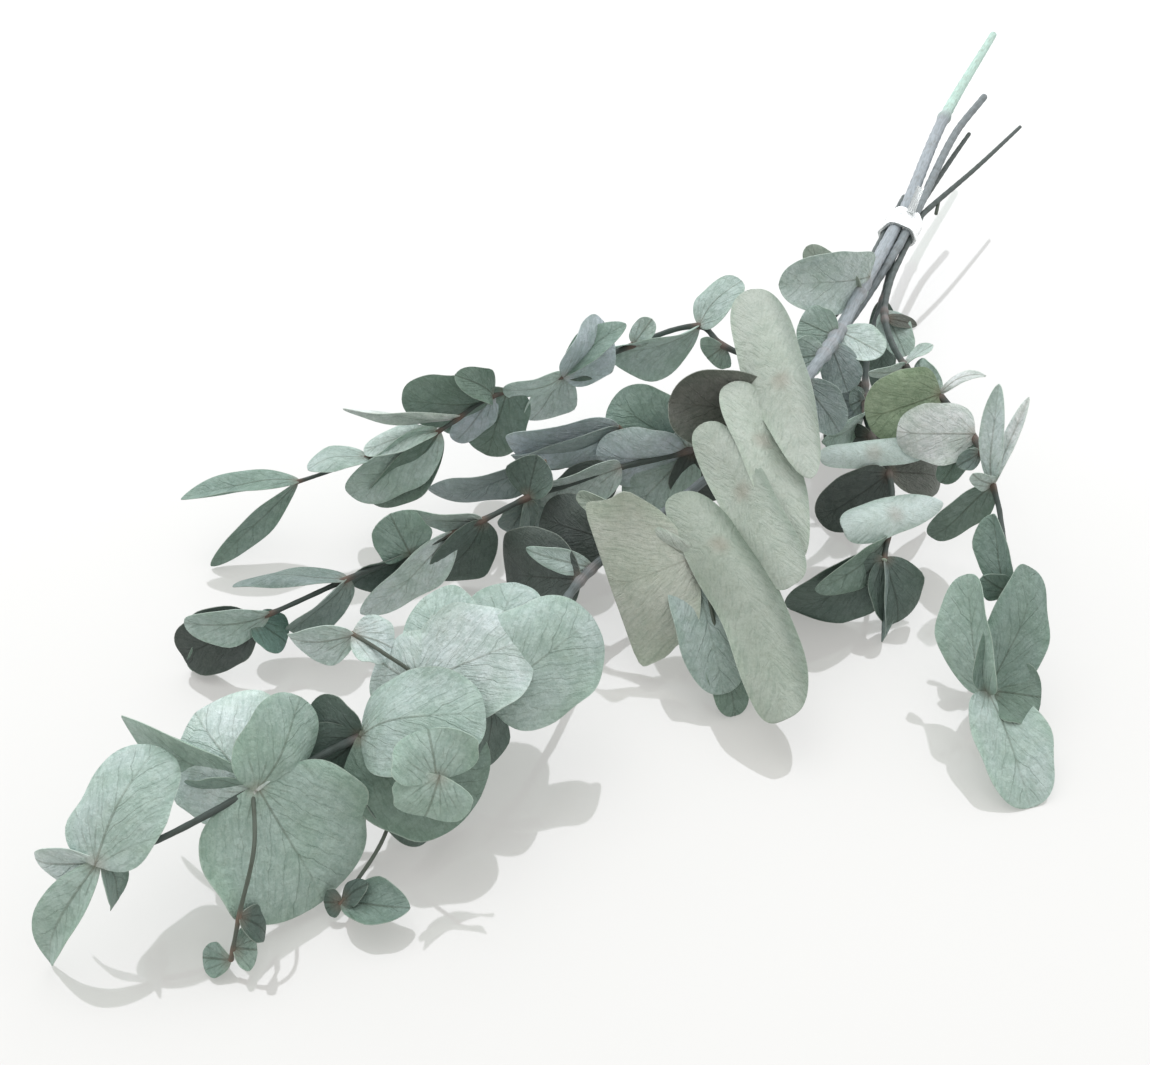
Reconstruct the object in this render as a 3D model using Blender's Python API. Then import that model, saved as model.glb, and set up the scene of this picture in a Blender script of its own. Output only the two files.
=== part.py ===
# A tied bunch of eucalyptus branches lying on a table, for Blender 4.5.
# Metres, +Z up, the table at height zero.
# Six leafy branches, each one solid of its stem, twigs and leaves, are held together by a band
# near their cut ends.

import math
from collections import namedtuple

import bmesh
import bpy
import numpy as np

MM = 0.001

# Driving dimensions, in millimetres and degrees
BLADE_THICKNESS = 0.8
LEAF_BASE_SHARE = 0.11  # width of a blade where it clasps the stem, as a share of its full width
LEAF_BASE_FADE = 6  # how soon that narrow start gives way to the outline, as a power
LEAF_TIP_SHARE = 0.22
LEAF_TIP_FADE = 10
CUP_POWER = 1.6  # how much of a blade's rise towards its edges comes near the edges
BASE_STEP = 0.3  # blades that grow from one place on a stem start this far apart
FOOT_CUT = 0.1  # a blade that touches the table is trimmed flat by this much
CUTTER_MARGIN = 5.0  # the block that trims the feet is this much larger than the branch
STEM_SIDES = 6
TWIG_SIDES = 5
LONG_SPAN = 25.0  # a stretch of stem longer than this between two spots gets a ring in its middle
NODE_SWELL = 1.35  # thickness of a stem where leaves grow from it
BUNCH_CENTRE = (37.98, 401.01)  # the middle of the bunch's box on the table, from the point under the eye

# The band round the stems
BAND_BEARING = 65.0
BAND_WIDTH = 14.0
BAND_THICKNESS = 1.2
BAND_GAP = 0.3
BAND_SIDES = 40
BAND_STRAIGHT = 12.0  # the stems run straight this far on each side of the band's middle
BAND_LEAD = 5.0  # and lead into that stretch over this length
STUB_LENGTH = 27.0  # length of a stem beyond the band's middle where its cut end is short
LOOSE_END = (15.0, 3.6, 0.9)  # length, width and thickness of the band's loose end
LOOSE_RISE = 18.0
LOOSE_ASIDE = 2.2  # how far the loose end lies sideways from the band's middle
LOOSE_SEAT = 3.0  # how far in from the band's edge it leaves the band
SMOOTH_ANGLE = 38.0

# Places are given as they are seen in the photograph (across and down, in its pixels),
# with a height over the table.
# The eye looks along +Y from above the table, and place_seen works out where such a point lies.
FOCAL_PIXELS = 1250.0
PICTURE_CENTRE = (575.0, 532.5)
EYE_HEIGHT = 325.0
EYE_TILT = math.radians(45)
BAND_SEEN = (901, 226, 38)

Spot = namedtuple("Spot", "across down height radius")
LEAF_FIELDS = "name route station across down height width turn arch cup form far"
Leaf = namedtuple("Leaf", LEAF_FIELDS, defaults=["round", None])
# station: which spot of the stem or twig the leaf grows from, with fractions between two spots
# across, down, height: where its tip is; width: of the blade
# turn: how far the blade is rolled about its midrib from facing the eye
# arch: how far the midrib bulges towards the eye, as a share of its length; cup: how far the edges rise
# form: which of the outlines below the blade has
# far: the other end of two leaves that grew together across the stem into one blade,
# which bends to meet the stem
# The outlines: where the blade is widest, how blunt its base and its tip are,
# how many radii its base lies off the stem towards the eye, and how far behind that place it starts
FORMS = {
    "round": (0.46, 2.1, 2.4, 0.0, 0.0),
    "heart": (0.42, 2.9, 2.5, 1.1, 1.0),
    "strap": (0.55, 5.0, 2.9, 1.3, 3.5),
    "point": (0.44, 1.7, 1.75, 0.0, 0.0),
    "fan": (0.84, 2.0, 7.0, 1.1, 1.0),
    "tongue": (0.38, 3.0, 1.85, 0.0, 0.0),
    "twin": (0.58, 3.2, 3.2, 0.0, 0.0),
}

SLOTS = {  # each stem's place in the band: sideways and up from the band's middle, and its radius
    "branch_centre": (-1.6, 1.2, 2.8),
    "branch_front_left": (3.4, 0.9, 1.9),
    "branch_upper_left": (-5.2, -1.6, 1.4),
    "branch_low_left": (-1.2, -3.6, 1.4),
    "branch_right": (2.2, -2.8, 1.3),
    "branch_far_right": (5.6, -2.0, 1.3),
}

LEAF_COLOURS = {
    "branch_front_left": (0.36, 0.47, 0.40),
    "branch_low_left": (0.26, 0.34, 0.32),
    "branch_upper_left": (0.30, 0.40, 0.36),
    "branch_centre": (0.44, 0.50, 0.43),
    "branch_right": (0.24, 0.30, 0.29),
    "branch_far_right": (0.32, 0.43, 0.38),
}
BAND_COLOUR = (0.82, 0.84, 0.82)

BRANCHES = {
    "branch_front_left": {
        "cut_end": [Spot(984, 97, 44, 1.7), Spot(955, 134, 42, 1.8)],
        "stem": [
            Spot(850, 320, 34, 1.8),
            Spot(760, 430, 32, 1.7),
            Spot(680, 500, 31, 1.7),
            Spot(620, 545, 27, 1.6),
            Spot(580, 581, 29, 1.5),
            Spot(545, 630, 32, 1.5),
            Spot(487, 703, 32, 1.4),
            Spot(425, 722, 31, 1.3),
            Spot(359, 738, 32, 1.3),
            Spot(305, 764, 34, 1.1),
            Spot(253, 790, 36, 1.1),
            Spot(162, 838, 36, 0.9),
            Spot(97, 862, 34, 0.9),
        ],
        "twigs": {
            "shelf": (8, [Spot(400, 762, 37, 0.6), Spot(441, 779, 40, 0.6)]),
            "low": (8, [Spot(385, 790, 20, 0.6), Spot(386, 832, 13, 0.6), Spot(340, 905, 6, 0.6)]),
            "hanging": (10, [Spot(254, 848, 34, 0.6), Spot(240, 912, 22, 0.6), Spot(231, 960, 6, 0.6)]),
            "raised": (7, [Spot(421, 683, 38, 0.6), Spot(382, 652, 44, 0.6), Spot(351, 633, 46, 0.6)]),
        },
        "leaves": [
            Leaf("end_up", "stem", 12, 158, 747, 44, 25, 25, 0.12, -0.15, "heart"),
            Leaf("end_down", "stem", 12, 51, 963, 1, 13, -35, 0.14, 0.20, "point"),
            Leaf("end_far", "stem", 12, 36, 858, 28, 13, 45, 0.10, 0.20, "point"),
            Leaf("end_side", "stem", 12, 118, 899, 16, 16, 50, 0.05, 0.10, "point"),
            Leaf("second_left", "stem", 10, 196, 713, 42, 38, 15, 0.12, -0.15, "heart"),
            Leaf("second_back", "stem", 10, 122, 717, 38, 20, 60, 0.05, 0.10, "point"),
            Leaf("second_up", "stem", 10, 300, 697, 47, 25, -30, 0.12, -0.20, "heart"),
            Leaf("second_round", "stem", 10, 322, 901, 5, 46, 10, 0.10, -0.10, "heart"),
            Leaf("second_under", "stem", 10, 190, 790, 28, 16, 55, 0.05, 0.10),
            Leaf("third_up", "stem", 8, 306, 716, 36, 22, 30, 0.08, 0.10),
            Leaf("third_low", "stem", 8, 305, 775, 20, 24, 20, 0.10, 0.10),
            Leaf("third_right", "stem", 8, 485, 712, 42, 30, 20, 0.20, -0.20, "heart"),
            Leaf("third_broad", "stem", 8, 480, 797, 14, 40, 0, 0.10, -0.10, "heart"),
            Leaf("third_table", "stem", 8, 430, 838, 2, 22, 20, 0.05, 0.10),
            Leaf("fourth_side", "stem", 6, 486, 768, 15, 18, 55, 0.05, 0.10),
            Leaf("shelf_up", "shelf", 2, 428, 729, 50, 24, -10, 0.10, 0.15, "heart"),
            Leaf("shelf_down", "shelf", 2, 425, 816, 30, 22, 10, 0.10, 0.25, "heart"),
            Leaf("low_long", "low", 3, 410, 908, 8, 13, 20, 0.05, 0.30, "point"),
            Leaf("low_bud", "low", 3, 368, 884, 12, 8, 40, 0.05, 0.10, "point"),
            Leaf("low_side", "low", 3, 324, 902, 6, 9, 20, 0.05, 0.10, "point"),
            Leaf("hanging_left", "hanging", 3, 203, 957, 1, 9, 20, 0.05, 0.20, "point"),
            Leaf("hanging_right", "hanging", 2.1, 265, 933, 8, 10, 30, 0.05, 0.20, "point"),
            Leaf("hanging_pale", "hanging", 2.8, 257, 950, 3, 12, 10, 0.05, 0.10, "point"),
            Leaf("raised_left", "raised", 3, 290, 637, 42, 14, 50, 0.10, 0.20),
            Leaf("raised_right", "raised", 3, 392, 648, 40, 16, 20, 0.10, 0.20),
            Leaf("fourth_pale", "raised", 1, 527, 640, 46, 34, 15, 0.15, -0.20, "heart"),
            Leaf("fourth_pale_left", "raised", 1, 378, 660, 36, 26, 10, 0.10, -0.10),
            Leaf("fourth_back", "stem", 6, 424, 598, 40, 30, 20, 0.15, -0.10),
            Leaf("fourth_veined", "stem", 6, 592, 617, 44, 34, 0, 0.18, -0.25, "heart"),
            Leaf("fourth_top", "stem", 6, 515, 583, 42, 26, 10, 0.15, -0.15),
            Leaf("fifth_dark", "stem", 4, 506, 572, 8, 34, 10, 0.10, 0.10),
            Leaf("fifth_edge", "stem", 3.7, 526, 548, 36, 8, 15, 0.10, 0.10, "point"),
            Leaf("sixth_dark", "stem", 3, 541, 517, 24, 24, 0, 0.10, 0.10),
        ],
    },
    "branch_low_left": {
        "cut_end": [],
        "stem": [
            Spot(832, 345, 29, 1.4),
            Spot(762, 418, 30, 1.3),
            Spot(689, 450, 33, 1.2),
            Spot(614, 469, 32, 1.1),
            Spot(563, 486, 31, 1.1),
            Spot(527, 498, 30, 1.0),
            Spot(481, 521, 29, 1.0),
            Spot(408, 553, 27, 0.9),
            Spot(345, 580, 25, 0.9),
            Spot(272, 613, 20, 0.8),
            Spot(240, 625, 18, 0.7),
        ],
        "twigs": {
            "upper": (2.5, [Spot(636, 442, 38, 0.6), Spot(618, 426, 42, 0.6)]),
            "middle": (4.4, [Spot(547, 470, 38, 0.6), Spot(544, 460, 41, 0.6)]),
        },
        "leaves": [
            Leaf("top_small", "stem", 2, 675, 433, 40, 9, 10, 0.05, 0.10),
            Leaf("top_grey", "stem", 2.1, 596, 456, 34, 24, 35, 0.10, -0.20),
            Leaf("top_wrinkled", "stem", 2, 632, 510, 14, 24, 10, 0.05, 0.10),
            Leaf("top_dark", "stem", 2, 702, 502, 12, 21, 0, 0.10, 0.20),
            Leaf("top_deep", "stem", 2, 612, 400, 46, 26, 10, 0.10, 0.10),
            Leaf("upper_long", "upper", 2, 507, 441, 32, 22, 45, 0.10, 0.20),
            Leaf("upper_under", "upper", 2, 512, 456, 26, 16, 50, 0.10, 0.30),
            Leaf("second_open", "stem", 3, 529, 494, 28, 15, 42, 0.08, 0.30, "heart"),
            Leaf("second_inside", "stem", 3, 552, 508, 12, 18, 10, 0.05, 0.10),
            Leaf("third_standing", "stem", 5, 537, 455, 44, 18, 20, 0.05, 0.20, "point"),
            Leaf("middle_long", "middle", 2, 429, 490, 16, 15, 55, 0.08, 0.20, "point"),
            Leaf("third_small", "stem", 5.05, 509, 532, 12, 13, 20, 0.05, 0.10),
            Leaf("third_side", "stem", 5, 536, 538, 8, 12, 30, 0.05, 0.10),
            Leaf("fourth_edge", "stem", 6, 403, 511, 36, 14, 65, 0.05, 0.10, "point"),
            Leaf("fourth_dark", "stem", 6, 436, 580, 5, 24, 45, 0.10, 0.20),
            Leaf("fourth_pale", "stem", 6.4, 361, 614, 6, 20, 50, 0.05, 0.10, "point"),
            Leaf("fifth_round", "stem", 7, 390, 514, 44, 19, 0, 0.05, 0.10, "heart"),
            Leaf("fifth_fold", "stem", 7, 350, 584, 14, 20, 60, 0.05, 0.20),
            Leaf("sixth_narrow", "stem", 8, 233, 586, 22, 18, -68, 0.05, 0.10),
            Leaf("sixth_fold", "stem", 8, 290, 631, 8, 15, 50, 0.05, 0.40),
            Leaf("end_pale", "stem", 9.1, 184, 622, 24, 13, 42, 0.14, 0.25),
            Leaf("end_dark", "stem", 9.6, 182, 655, 6, 22, 10, 0.05, 0.25),
            Leaf("end_back", "stem", 9.7, 286, 643, 8, 15, 30, 0.10, 0.10),
            Leaf("end_table", "stem", 10, 193, 671, 0, 13, 10, 0.05, 0.05),
        ],
    },
    "branch_upper_left": {
        "cut_end": [],
        "stem": [
            Spot(850, 298, 37, 1.4),
            Spot(800, 340, 38, 1.3),
            Spot(748, 354, 42, 1.2),
            Spot(722, 345, 45, 1.1),
            Spot(698, 326, 46, 1.1),
            Spot(631, 346, 44, 1.0),
            Spot(562, 376, 42, 1.0),
            Spot(491, 397, 40, 0.9),
            Spot(437, 432, 35, 0.8),
            Spot(366, 458, 30, 0.8),
            Spot(297, 482, 24, 0.7),
            Spot(277, 485, 23, 0.6),
        ],
        "twigs": {},
        "leaves": [
            Leaf("first_up", "stem", 4, 742, 281, 62, 18, 45, 0.10, 0.10),
            Leaf("first_boat", "stem", 4, 604, 352, 38, 24, 50, 0.12, 0.40, "point"),
            Leaf("first_side", "stem", 3, 707, 358, 40, 16, 30, 0.05, 0.10),
            Leaf("second_small", "stem", 5, 652, 319, 54, 9, 10, 0.05, 0.10),
            Leaf("third_tip", "stem", 6, 626, 324, 56, 14, 40, 0.10, 0.20, "point"),
            Leaf("third_broad", "stem", 6, 603, 321, 54, 22, -40, 0.15, 0.10, "heart"),
            Leaf("third_dark", "stem", 6, 612, 366, 36, 9, 20, 0.05, 0.10),
            Leaf("third_hanging", "stem", 6, 530, 420, 24, 20, 50, 0.05, 0.10),
            Leaf("third_edge", "stem", 6, 503, 389, 44, 13, 55, 0.10, 0.10),
            Leaf("fourth_hanging", "stem", 6.8, 487, 455, 12, 22, 0, 0.05, -0.10, "heart"),
            Leaf("fourth_pale", "stem", 7, 455, 441, 20, 12, 30, 0.05, 0.10),
            Leaf("fourth_dark", "stem", 7, 402, 400, 42, 24, 40, 0.10, -0.20),
            Leaf("fourth_low", "stem", 7, 444, 431, 24, 13, 40, 0.05, 0.10),
            Leaf("fourth_curl", "stem", 7, 455, 375, 54, 12, -20, 0.20, 0.30),
            Leaf("fifth_faint", "stem", 7.6, 343, 409, 50, 10, 60, 0.05, 0.10, "point"),
            Leaf("fifth_long", "stem", 8, 349, 494, 15, 20, 30, 0.08, 0.20),
            Leaf("fifth_back", "stem", 8, 364, 453, 32, 14, -55, 0.06, 0.10),
            Leaf("fifth_dark", "stem", 8, 372, 503, 8, 17, 30, 0.10, 0.20),
            Leaf("sixth_edge", "stem", 9, 308, 470, 32, 16, -60, 0.10, 0.10),
            Leaf("end_left", "stem", 10, 181, 499, 22, 17, -65, 0.06, 0.10, "point"),
            Leaf("end_down", "stem", 10, 211, 566, 1, 16, 50, 0.03, 0.10, "point"),
        ],
    },
    "branch_centre": {
        "cut_end": [Spot(993, 35, 46, 1.9), Spot(944, 118, 42, 2.7)],
        "stem": [
            Spot(864, 284, 43, 2.6),
            Spot(836, 337, 46, 2.4),
            Spot(803, 383, 50, 2.1),
            Spot(777, 424, 47, 1.8),
            Spot(750, 470, 42, 1.6),
            Spot(720, 522, 36, 1.3),
            Spot(689, 561, 31, 1.1),
        ],
        "twigs": {
            "under": (5.5, [Spot(708, 590, 28, 0.6), Spot(718, 640, 18, 0.6)]),
            "first_stalk": (2, [Spot(781, 385, 64.4, 0.6)]),
            "second_stalk": (3, [Spot(762, 440, 55, 0.6)]),
            "third_stalk": (4, [Spot(741, 490, 46.4, 0.6)]),
            "fourth_stalk": (5.4, [Spot(719, 548, 36.8, 0.6)]),
        },
        "leaves": [
            Leaf("first_strap", "first_stalk", 1, 811, 478, 53, 21, 8, 0, 0.05, "tongue", (749, 290, 76)),
            Leaf("second_strap", "second_stalk", 1, 802, 558, 41, 18, 8, 0, 0.05, "tongue", (733, 382, 62)),
            Leaf("third_strap", "third_stalk", 1, 793, 585, 35, 18, -6, 0, 0.05, "twin", (702, 424, 54)),
            Leaf("fourth_strap", "fourth_stalk", 1, 786, 719, 16, 22, 8, 0, 0.05, "twin", (678, 493, 43)),
            Leaf("second_curl", "stem", 3, 669, 402, 55, 29, 10, -0.10, 0.50, "heart"),
            Leaf("end_broad", "stem", 6, 611, 587, 27, 57, 5, 0.10, -0.05, "fan"),
            Leaf("end_fold", "stem", 6, 577, 494, 42, 8, 10, 0.05, 0.10, "strap"),
            Leaf("end_down", "stem", 6, 723, 694, 8, 22, 10, 0.05, 0.05, "heart"),
            Leaf("under_tip", "under", 2, 735, 716, 0, 14, 20, 0.05, 0.10),
            Leaf("bare_olive", "stem", 0, 779, 285, 58, 24, 10, 0.10, 0.20, "heart"),
            Leaf("bare_back", "stem", 0.2, 806, 247, 60, 13, 30, 0.05, 0.20),
            Leaf("bare_pale", "stem", 1, 800, 320, 47, 17, 10, 0.05, 0.10),
            Leaf("bare_right", "stem", 0.9, 883, 354, 47, 14, 20, 0.05, 0.10),
            Leaf("bare_left", "stem", 1.4, 790, 358, 44, 15, 10, 0.05, 0.10),
            Leaf("bare_deep", "stem", 1.2, 848, 392, 34, 15, 10, 0.05, 0.10),
            Leaf("first_back", "stem", 2, 839, 432, 36, 15, 10, 0.10, 0.10),
        ],
    },
    "branch_right": {
        "cut_end": [Spot(969, 134, 35, 1.0), Spot(950, 161, 34, 1.2)],
        "stem": [
            Spot(884, 295, 33, 1.3),
            Spot(868, 350, 31, 1.3),
            Spot(866, 412, 29, 1.2),
            Spot(874, 443, 27, 1.2),
            Spot(889, 474, 26, 1.1),
            Spot(892, 506, 25, 1.0),
            Spot(884, 560, 22, 0.9),
        ],
        "twigs": {
            "second_stalk": (3.2, [Spot(873, 453, 33, 0.6)]),
            "fourth_stalk": (4.8, [Spot(895, 514, 30.5, 0.6)]),
        },
        "leaves": [
            Leaf("bare_under", "stem", 0.1, 880, 393, 0, 12, 10, 0.05, 0.05),
            Leaf("first_strip", "stem", 2, 822, 442, 32, 12, 50, 0.10, 0.10, "point"),
            Leaf("first_small", "stem", 1.8, 850, 405, 30, 11, 20, 0.05, 0.10),
            Leaf("second_strip", "second_stalk", 1, 926, 449, 34, 10, 10, 0, 0.05, "twin", (820, 457, 33)),
            Leaf("second_dark", "stem", 2.8, 824, 440, 18, 13, 10, 0.05, 0.10),
            Leaf("second_deep", "stem", 2.8, 906, 437, 18, 11, 10, 0.05, 0.10),
            Leaf("first_deep", "stem", 1.6, 838, 400, 14, 22, 20, 0.05, 0.10),
            Leaf("first_grey", "stem", 1.9, 817, 397, 24, 14, 20, 0.05, 0.10),
            Leaf("bare_dark", "stem", 1, 841, 372, 22, 13, 20, 0.05, 0.10),
            Leaf("third_left", "stem", 4, 819, 521, 12, 21, 20, 0.05, 0.10),
            Leaf("third_right", "stem", 4, 940, 478, 14, 17, 20, 0.10, 0.10),
            Leaf("fourth_strip", "fourth_stalk", 1, 943, 503, 31, 14, 10, 0, -0.10, "tongue", (843, 529, 30)),
            Leaf("end_upper", "stem", 5.6, 815, 590, 20, 15, 50, 0.10, 0.20, "point"),
            Leaf("end_left", "stem", 6, 786, 606, 1, 26, 40, 0.12, 0.20, "point"),
            Leaf("end_rolled", "stem", 6, 882, 642, 0, 11, 70, 0.05, 0.30, "point"),
            Leaf("end_right", "stem", 6, 897, 622, 2, 20, 30, 0.10, 0.10),
        ],
    },
    "branch_far_right": {
        "cut_end": [Spot(1020, 127, 32, 0.9), Spot(976, 168, 35, 1.1)],
        "stem": [
            Spot(890, 283, 38, 1.3),
            Spot(885, 320, 40, 1.3),
            Spot(905, 366, 43, 1.2),
            Spot(940, 396, 43, 1.1),
            Spot(970, 431, 40, 1.1),
            Spot(988, 468, 36, 1.0),
            Spot(993, 486, 34, 1.0),
            Spot(1000, 514, 31, 0.9),
            Spot(1007, 596, 26, 0.9),
            Spot(987, 695, 13, 0.8),
        ],
        "twigs": {
            "stub": (-4.3, [Spot(936, 214, 33, 0.8)]),
        },
        "leaves": [
            Leaf("first_left", "stem", 2, 869, 372, 48, 9, 62, 0.05, 0.10, "point"),
            Leaf("first_right", "stem", 2, 933, 345, 50, 9, 62, 0.05, 0.10, "point"),
            Leaf("bare_long", "stem", 0.8, 906, 356, 31, 13, 20, 0.05, 0.10),
            Leaf("bare_point", "stem", 1, 917, 325, 38, 6, 20, 0.05, 0.10, "point"),
            Leaf("second_olive", "stem", 3, 866, 418, 38, 26, 10, 0.10, 0.10, "heart"),
            Leaf("second_small", "stem", 3, 918, 361, 46, 9, 20, 0.05, 0.10),
            Leaf("second_hook", "stem", 3, 986, 376, 50, 5, 30, 0.30, 0.10, "point"),
            Leaf("third_pale", "stem", 4.2, 897, 431, 41, 21, 10, 0.10, -0.20, "heart"),
            Leaf("third_back", "stem", 4, 941, 483, 25, 11, 20, 0.10, 0.10),
            Leaf("third_edge", "stem", 4.6, 957, 466, 34, 8, 20, 0.05, 0.10, "point"),
            Leaf("fourth_left", "stem", 6, 931, 537, 8, 13, 35, 0.05, 0.20),
            Leaf("fourth_up", "stem", 6, 999, 384, 66, 9, 20, 0.06, 0.30, "point"),
            Leaf("fourth_faint", "stem", 6, 1029, 397, 62, 5, 20, 0.05, 0.10, "point"),
            Leaf("fourth_tip", "stem", 6, 973, 474, 42, 7, 30, 0.05, 0.10),
            Leaf("fifth_rolled", "stem", 8, 993, 514, 44, 12, 30, 0.06, 0.60),
            Leaf("fifth_left", "stem", 8, 983, 576, 34, 10, 20, 0.05, 0.10),
            Leaf("fifth_low", "stem", 8, 1007, 640, 14, 8, 20, 0.05, 0.10),
            Leaf("end_left", "stem", 9, 968, 574, 38, 19, 40, 0.10, 0.20, "heart"),
            Leaf("end_right", "stem", 9, 1028, 566, 38, 22, -35, 0.10, 0.20, "heart"),
            Leaf("end_side", "stem", 9, 1041, 697, 14, 20, 10, 0.10, 0.10),
            Leaf("end_down", "stem", 9, 1030, 808, 0, 24, 35, 0.08, 0.15, "heart"),
        ],
    },
}


# Layout
def place_seen(across, down, height):
    """The place of a point that the photograph shows there at that height over the table."""
    right = (across - PICTURE_CENTRE[0]) / FOCAL_PIXELS
    fall = (down - PICTURE_CENTRE[1]) / FOCAL_PIXELS
    depth = (EYE_HEIGHT - height) / (math.sin(EYE_TILT) + fall * math.cos(EYE_TILT))
    away = depth * (math.cos(EYE_TILT) - fall * math.sin(EYE_TILT))
    return np.array([right * depth - BUNCH_CENTRE[0], away - BUNCH_CENTRE[1], height])


def unit(vector):
    return vector / np.linalg.norm(vector)


def eye_place():
    return np.array([-BUNCH_CENTRE[0], -BUNCH_CENTRE[1], EYE_HEIGHT])


def band_axes():
    """The band's middle, the way its stems run towards their cut ends, and the way sideways."""
    bearing = math.radians(BAND_BEARING)
    along = np.array([math.cos(bearing), math.sin(bearing), 0.0])
    sideways = np.array([along[1], -along[0], 0.0])
    return place_seen(*BAND_SEEN), along, sideways


def stem_spots(branch):
    """A stem's points and radii from its cut end to its tip, and how many lie before its first spot."""
    rows = BRANCHES[branch]
    middle, along, sideways = band_axes()
    aside, up, radius = SLOTS[branch]
    centre = middle + sideways * aside + np.array([0.0, 0.0, up])
    points = [place_seen(s.across, s.down, s.height) for s in rows["cut_end"]]
    radii = [s.radius for s in rows["cut_end"]]
    outer = BAND_STRAIGHT + BAND_LEAD
    for step in (outer if points else STUB_LENGTH, BAND_STRAIGHT, -BAND_STRAIGHT, -outer):
        points.append(centre + along * step)
        radii.append(radius)
    before = len(points)
    points += [place_seen(s.across, s.down, s.height) for s in rows["stem"]]
    radii += [s.radius for s in rows["stem"]]
    return np.array(points), np.array(radii), before


def smooth_route(points, station):
    """A point of the Catmull-Rom curve through the points, and the curve's direction there."""
    last = len(points) - 1
    k = min(int(math.floor(station)), last - 1)
    t = station - k
    p1, p2 = points[k], points[k + 1]
    p0 = points[k - 1] if k > 0 else 2 * p1 - p2
    p3 = points[k + 2] if k + 2 <= last else 2 * p2 - p1
    reach = np.linalg.norm(p2 - p1)
    m1 = (p2 - p0) / max(np.linalg.norm(p2 - p0), 1e-9) * reach
    m2 = (p3 - p1) / max(np.linalg.norm(p3 - p1), 1e-9) * reach
    place = (
        (2 * t**3 - 3 * t**2 + 1) * p1 + (t**3 - 2 * t**2 + t) * m1
        + (3 * t**2 - 2 * t**3) * p2 + (t**3 - t**2) * m2
    )
    course = (
        (6 * t**2 - 6 * t) * p1 + (3 * t**2 - 4 * t + 1) * m1
        + (6 * t - 6 * t**2) * p2 + (3 * t**2 - 2 * t) * m2
    )
    return place, unit(course)


def branch_routes(branch):
    """Every route of the branch by name: its points, its radii and the station of its first own spot."""
    points, radii, before = stem_spots(branch)
    routes = {"stem": (points, radii, before)}
    for name, (station, spots) in BRANCHES[branch]["twigs"].items():
        start, _ = smooth_route(points, station + before)
        twig = [start] + [place_seen(s.across, s.down, s.height) for s in spots]
        routes[name] = (np.array(twig), np.array([spots[0].radius] + [s.radius for s in spots]), 0)
    return routes


def leaf_base(routes, leaf, order):
    """Where a blade starts: neighbours start a little apart along the stem, and none at its very end."""
    points, radii, before = routes[leaf.route]
    base, course = smooth_route(points, leaf.station + before)
    if leaf.far:
        return base
    base = base - course * BASE_STEP * (1 + order % 4)
    radius = np.interp(leaf.station + before, np.arange(len(radii)), radii)
    to_eye = unit(eye_place() - base)
    lift = unit(to_eye - course * (to_eye @ course))
    return base + lift * FORMS[leaf.form][3] * radius


def half_width(form, u):
    """Half the blade's width along it, as a share: a superellipse on each side of its widest place."""
    peak, base_blunt, tip_blunt = FORMS[form][:3]
    rise = 1 - np.abs(1 - np.minimum(u / peak, 1.0)) ** base_blunt
    fall = 1 - np.clip((u - peak) / (1 - peak), 0.0, 1.0) ** tip_blunt
    return rise ** (1 / base_blunt) * fall ** (1 / tip_blunt)


def blade_middle(base, leaf, along_steps, across_steps):
    """A blade's middle surface as rows of points, from its base on the stem, or its far end, to its tip."""
    tip = place_seen(leaf.across, leaf.down, leaf.height)
    start = place_seen(*leaf.far) if leaf.far else base - unit(tip - base) * FORMS[leaf.form][4]
    run = unit(tip - start)
    length = np.linalg.norm(tip - start)
    to_eye = unit(eye_place() - (start + tip) / 2)
    face = unit(to_eye - run * (to_eye @ run))
    side = np.cross(face, run)
    turn = math.radians(leaf.turn)
    face, side = face * math.cos(turn) + side * math.sin(turn), side * math.cos(turn) - face * math.sin(turn)
    u = np.asarray(along_steps)[:, None]
    v = np.asarray(across_steps)[None, :]
    share = LEAF_BASE_SHARE * (1 - u) ** LEAF_BASE_FADE + LEAF_TIP_SHARE * u**LEAF_TIP_FADE
    half = leaf.width / 2 * np.maximum(half_width(leaf.form, u), share)
    middle = start + run * (u * length)[..., None] + side * (half * v)[..., None]
    arch = leaf.arch
    if leaf.far:
        met = (base - start) @ run / length
        arch = (base - start) @ face / (4 * length * met * (1 - met))
        middle = middle + side * ((base - start) @ side / (met * (1 - met)) * u * (1 - u))[..., None]
    lift = 4 * arch * length * u * (1 - u)
    rise = leaf.cup * half * np.abs(v) ** CUP_POWER
    middle = middle + face * (lift + rise)[..., None]
    lowest = BLADE_THICKNESS / 2 * abs(face[2]) - FOOT_CUT
    middle[..., 2] = np.maximum(middle[..., 2], lowest)
    return middle


# Solids
def link(name, points, faces):
    """A new object of these points, in millimetres, and faces."""
    mesh = bpy.data.meshes.new(name)
    mesh.from_pydata([tuple(p) for p in np.asarray(points) * MM], [], faces)
    mesh.update()
    obj = bpy.data.objects.new(name, mesh)
    bpy.context.scene.collection.objects.link(obj)
    return obj


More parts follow.
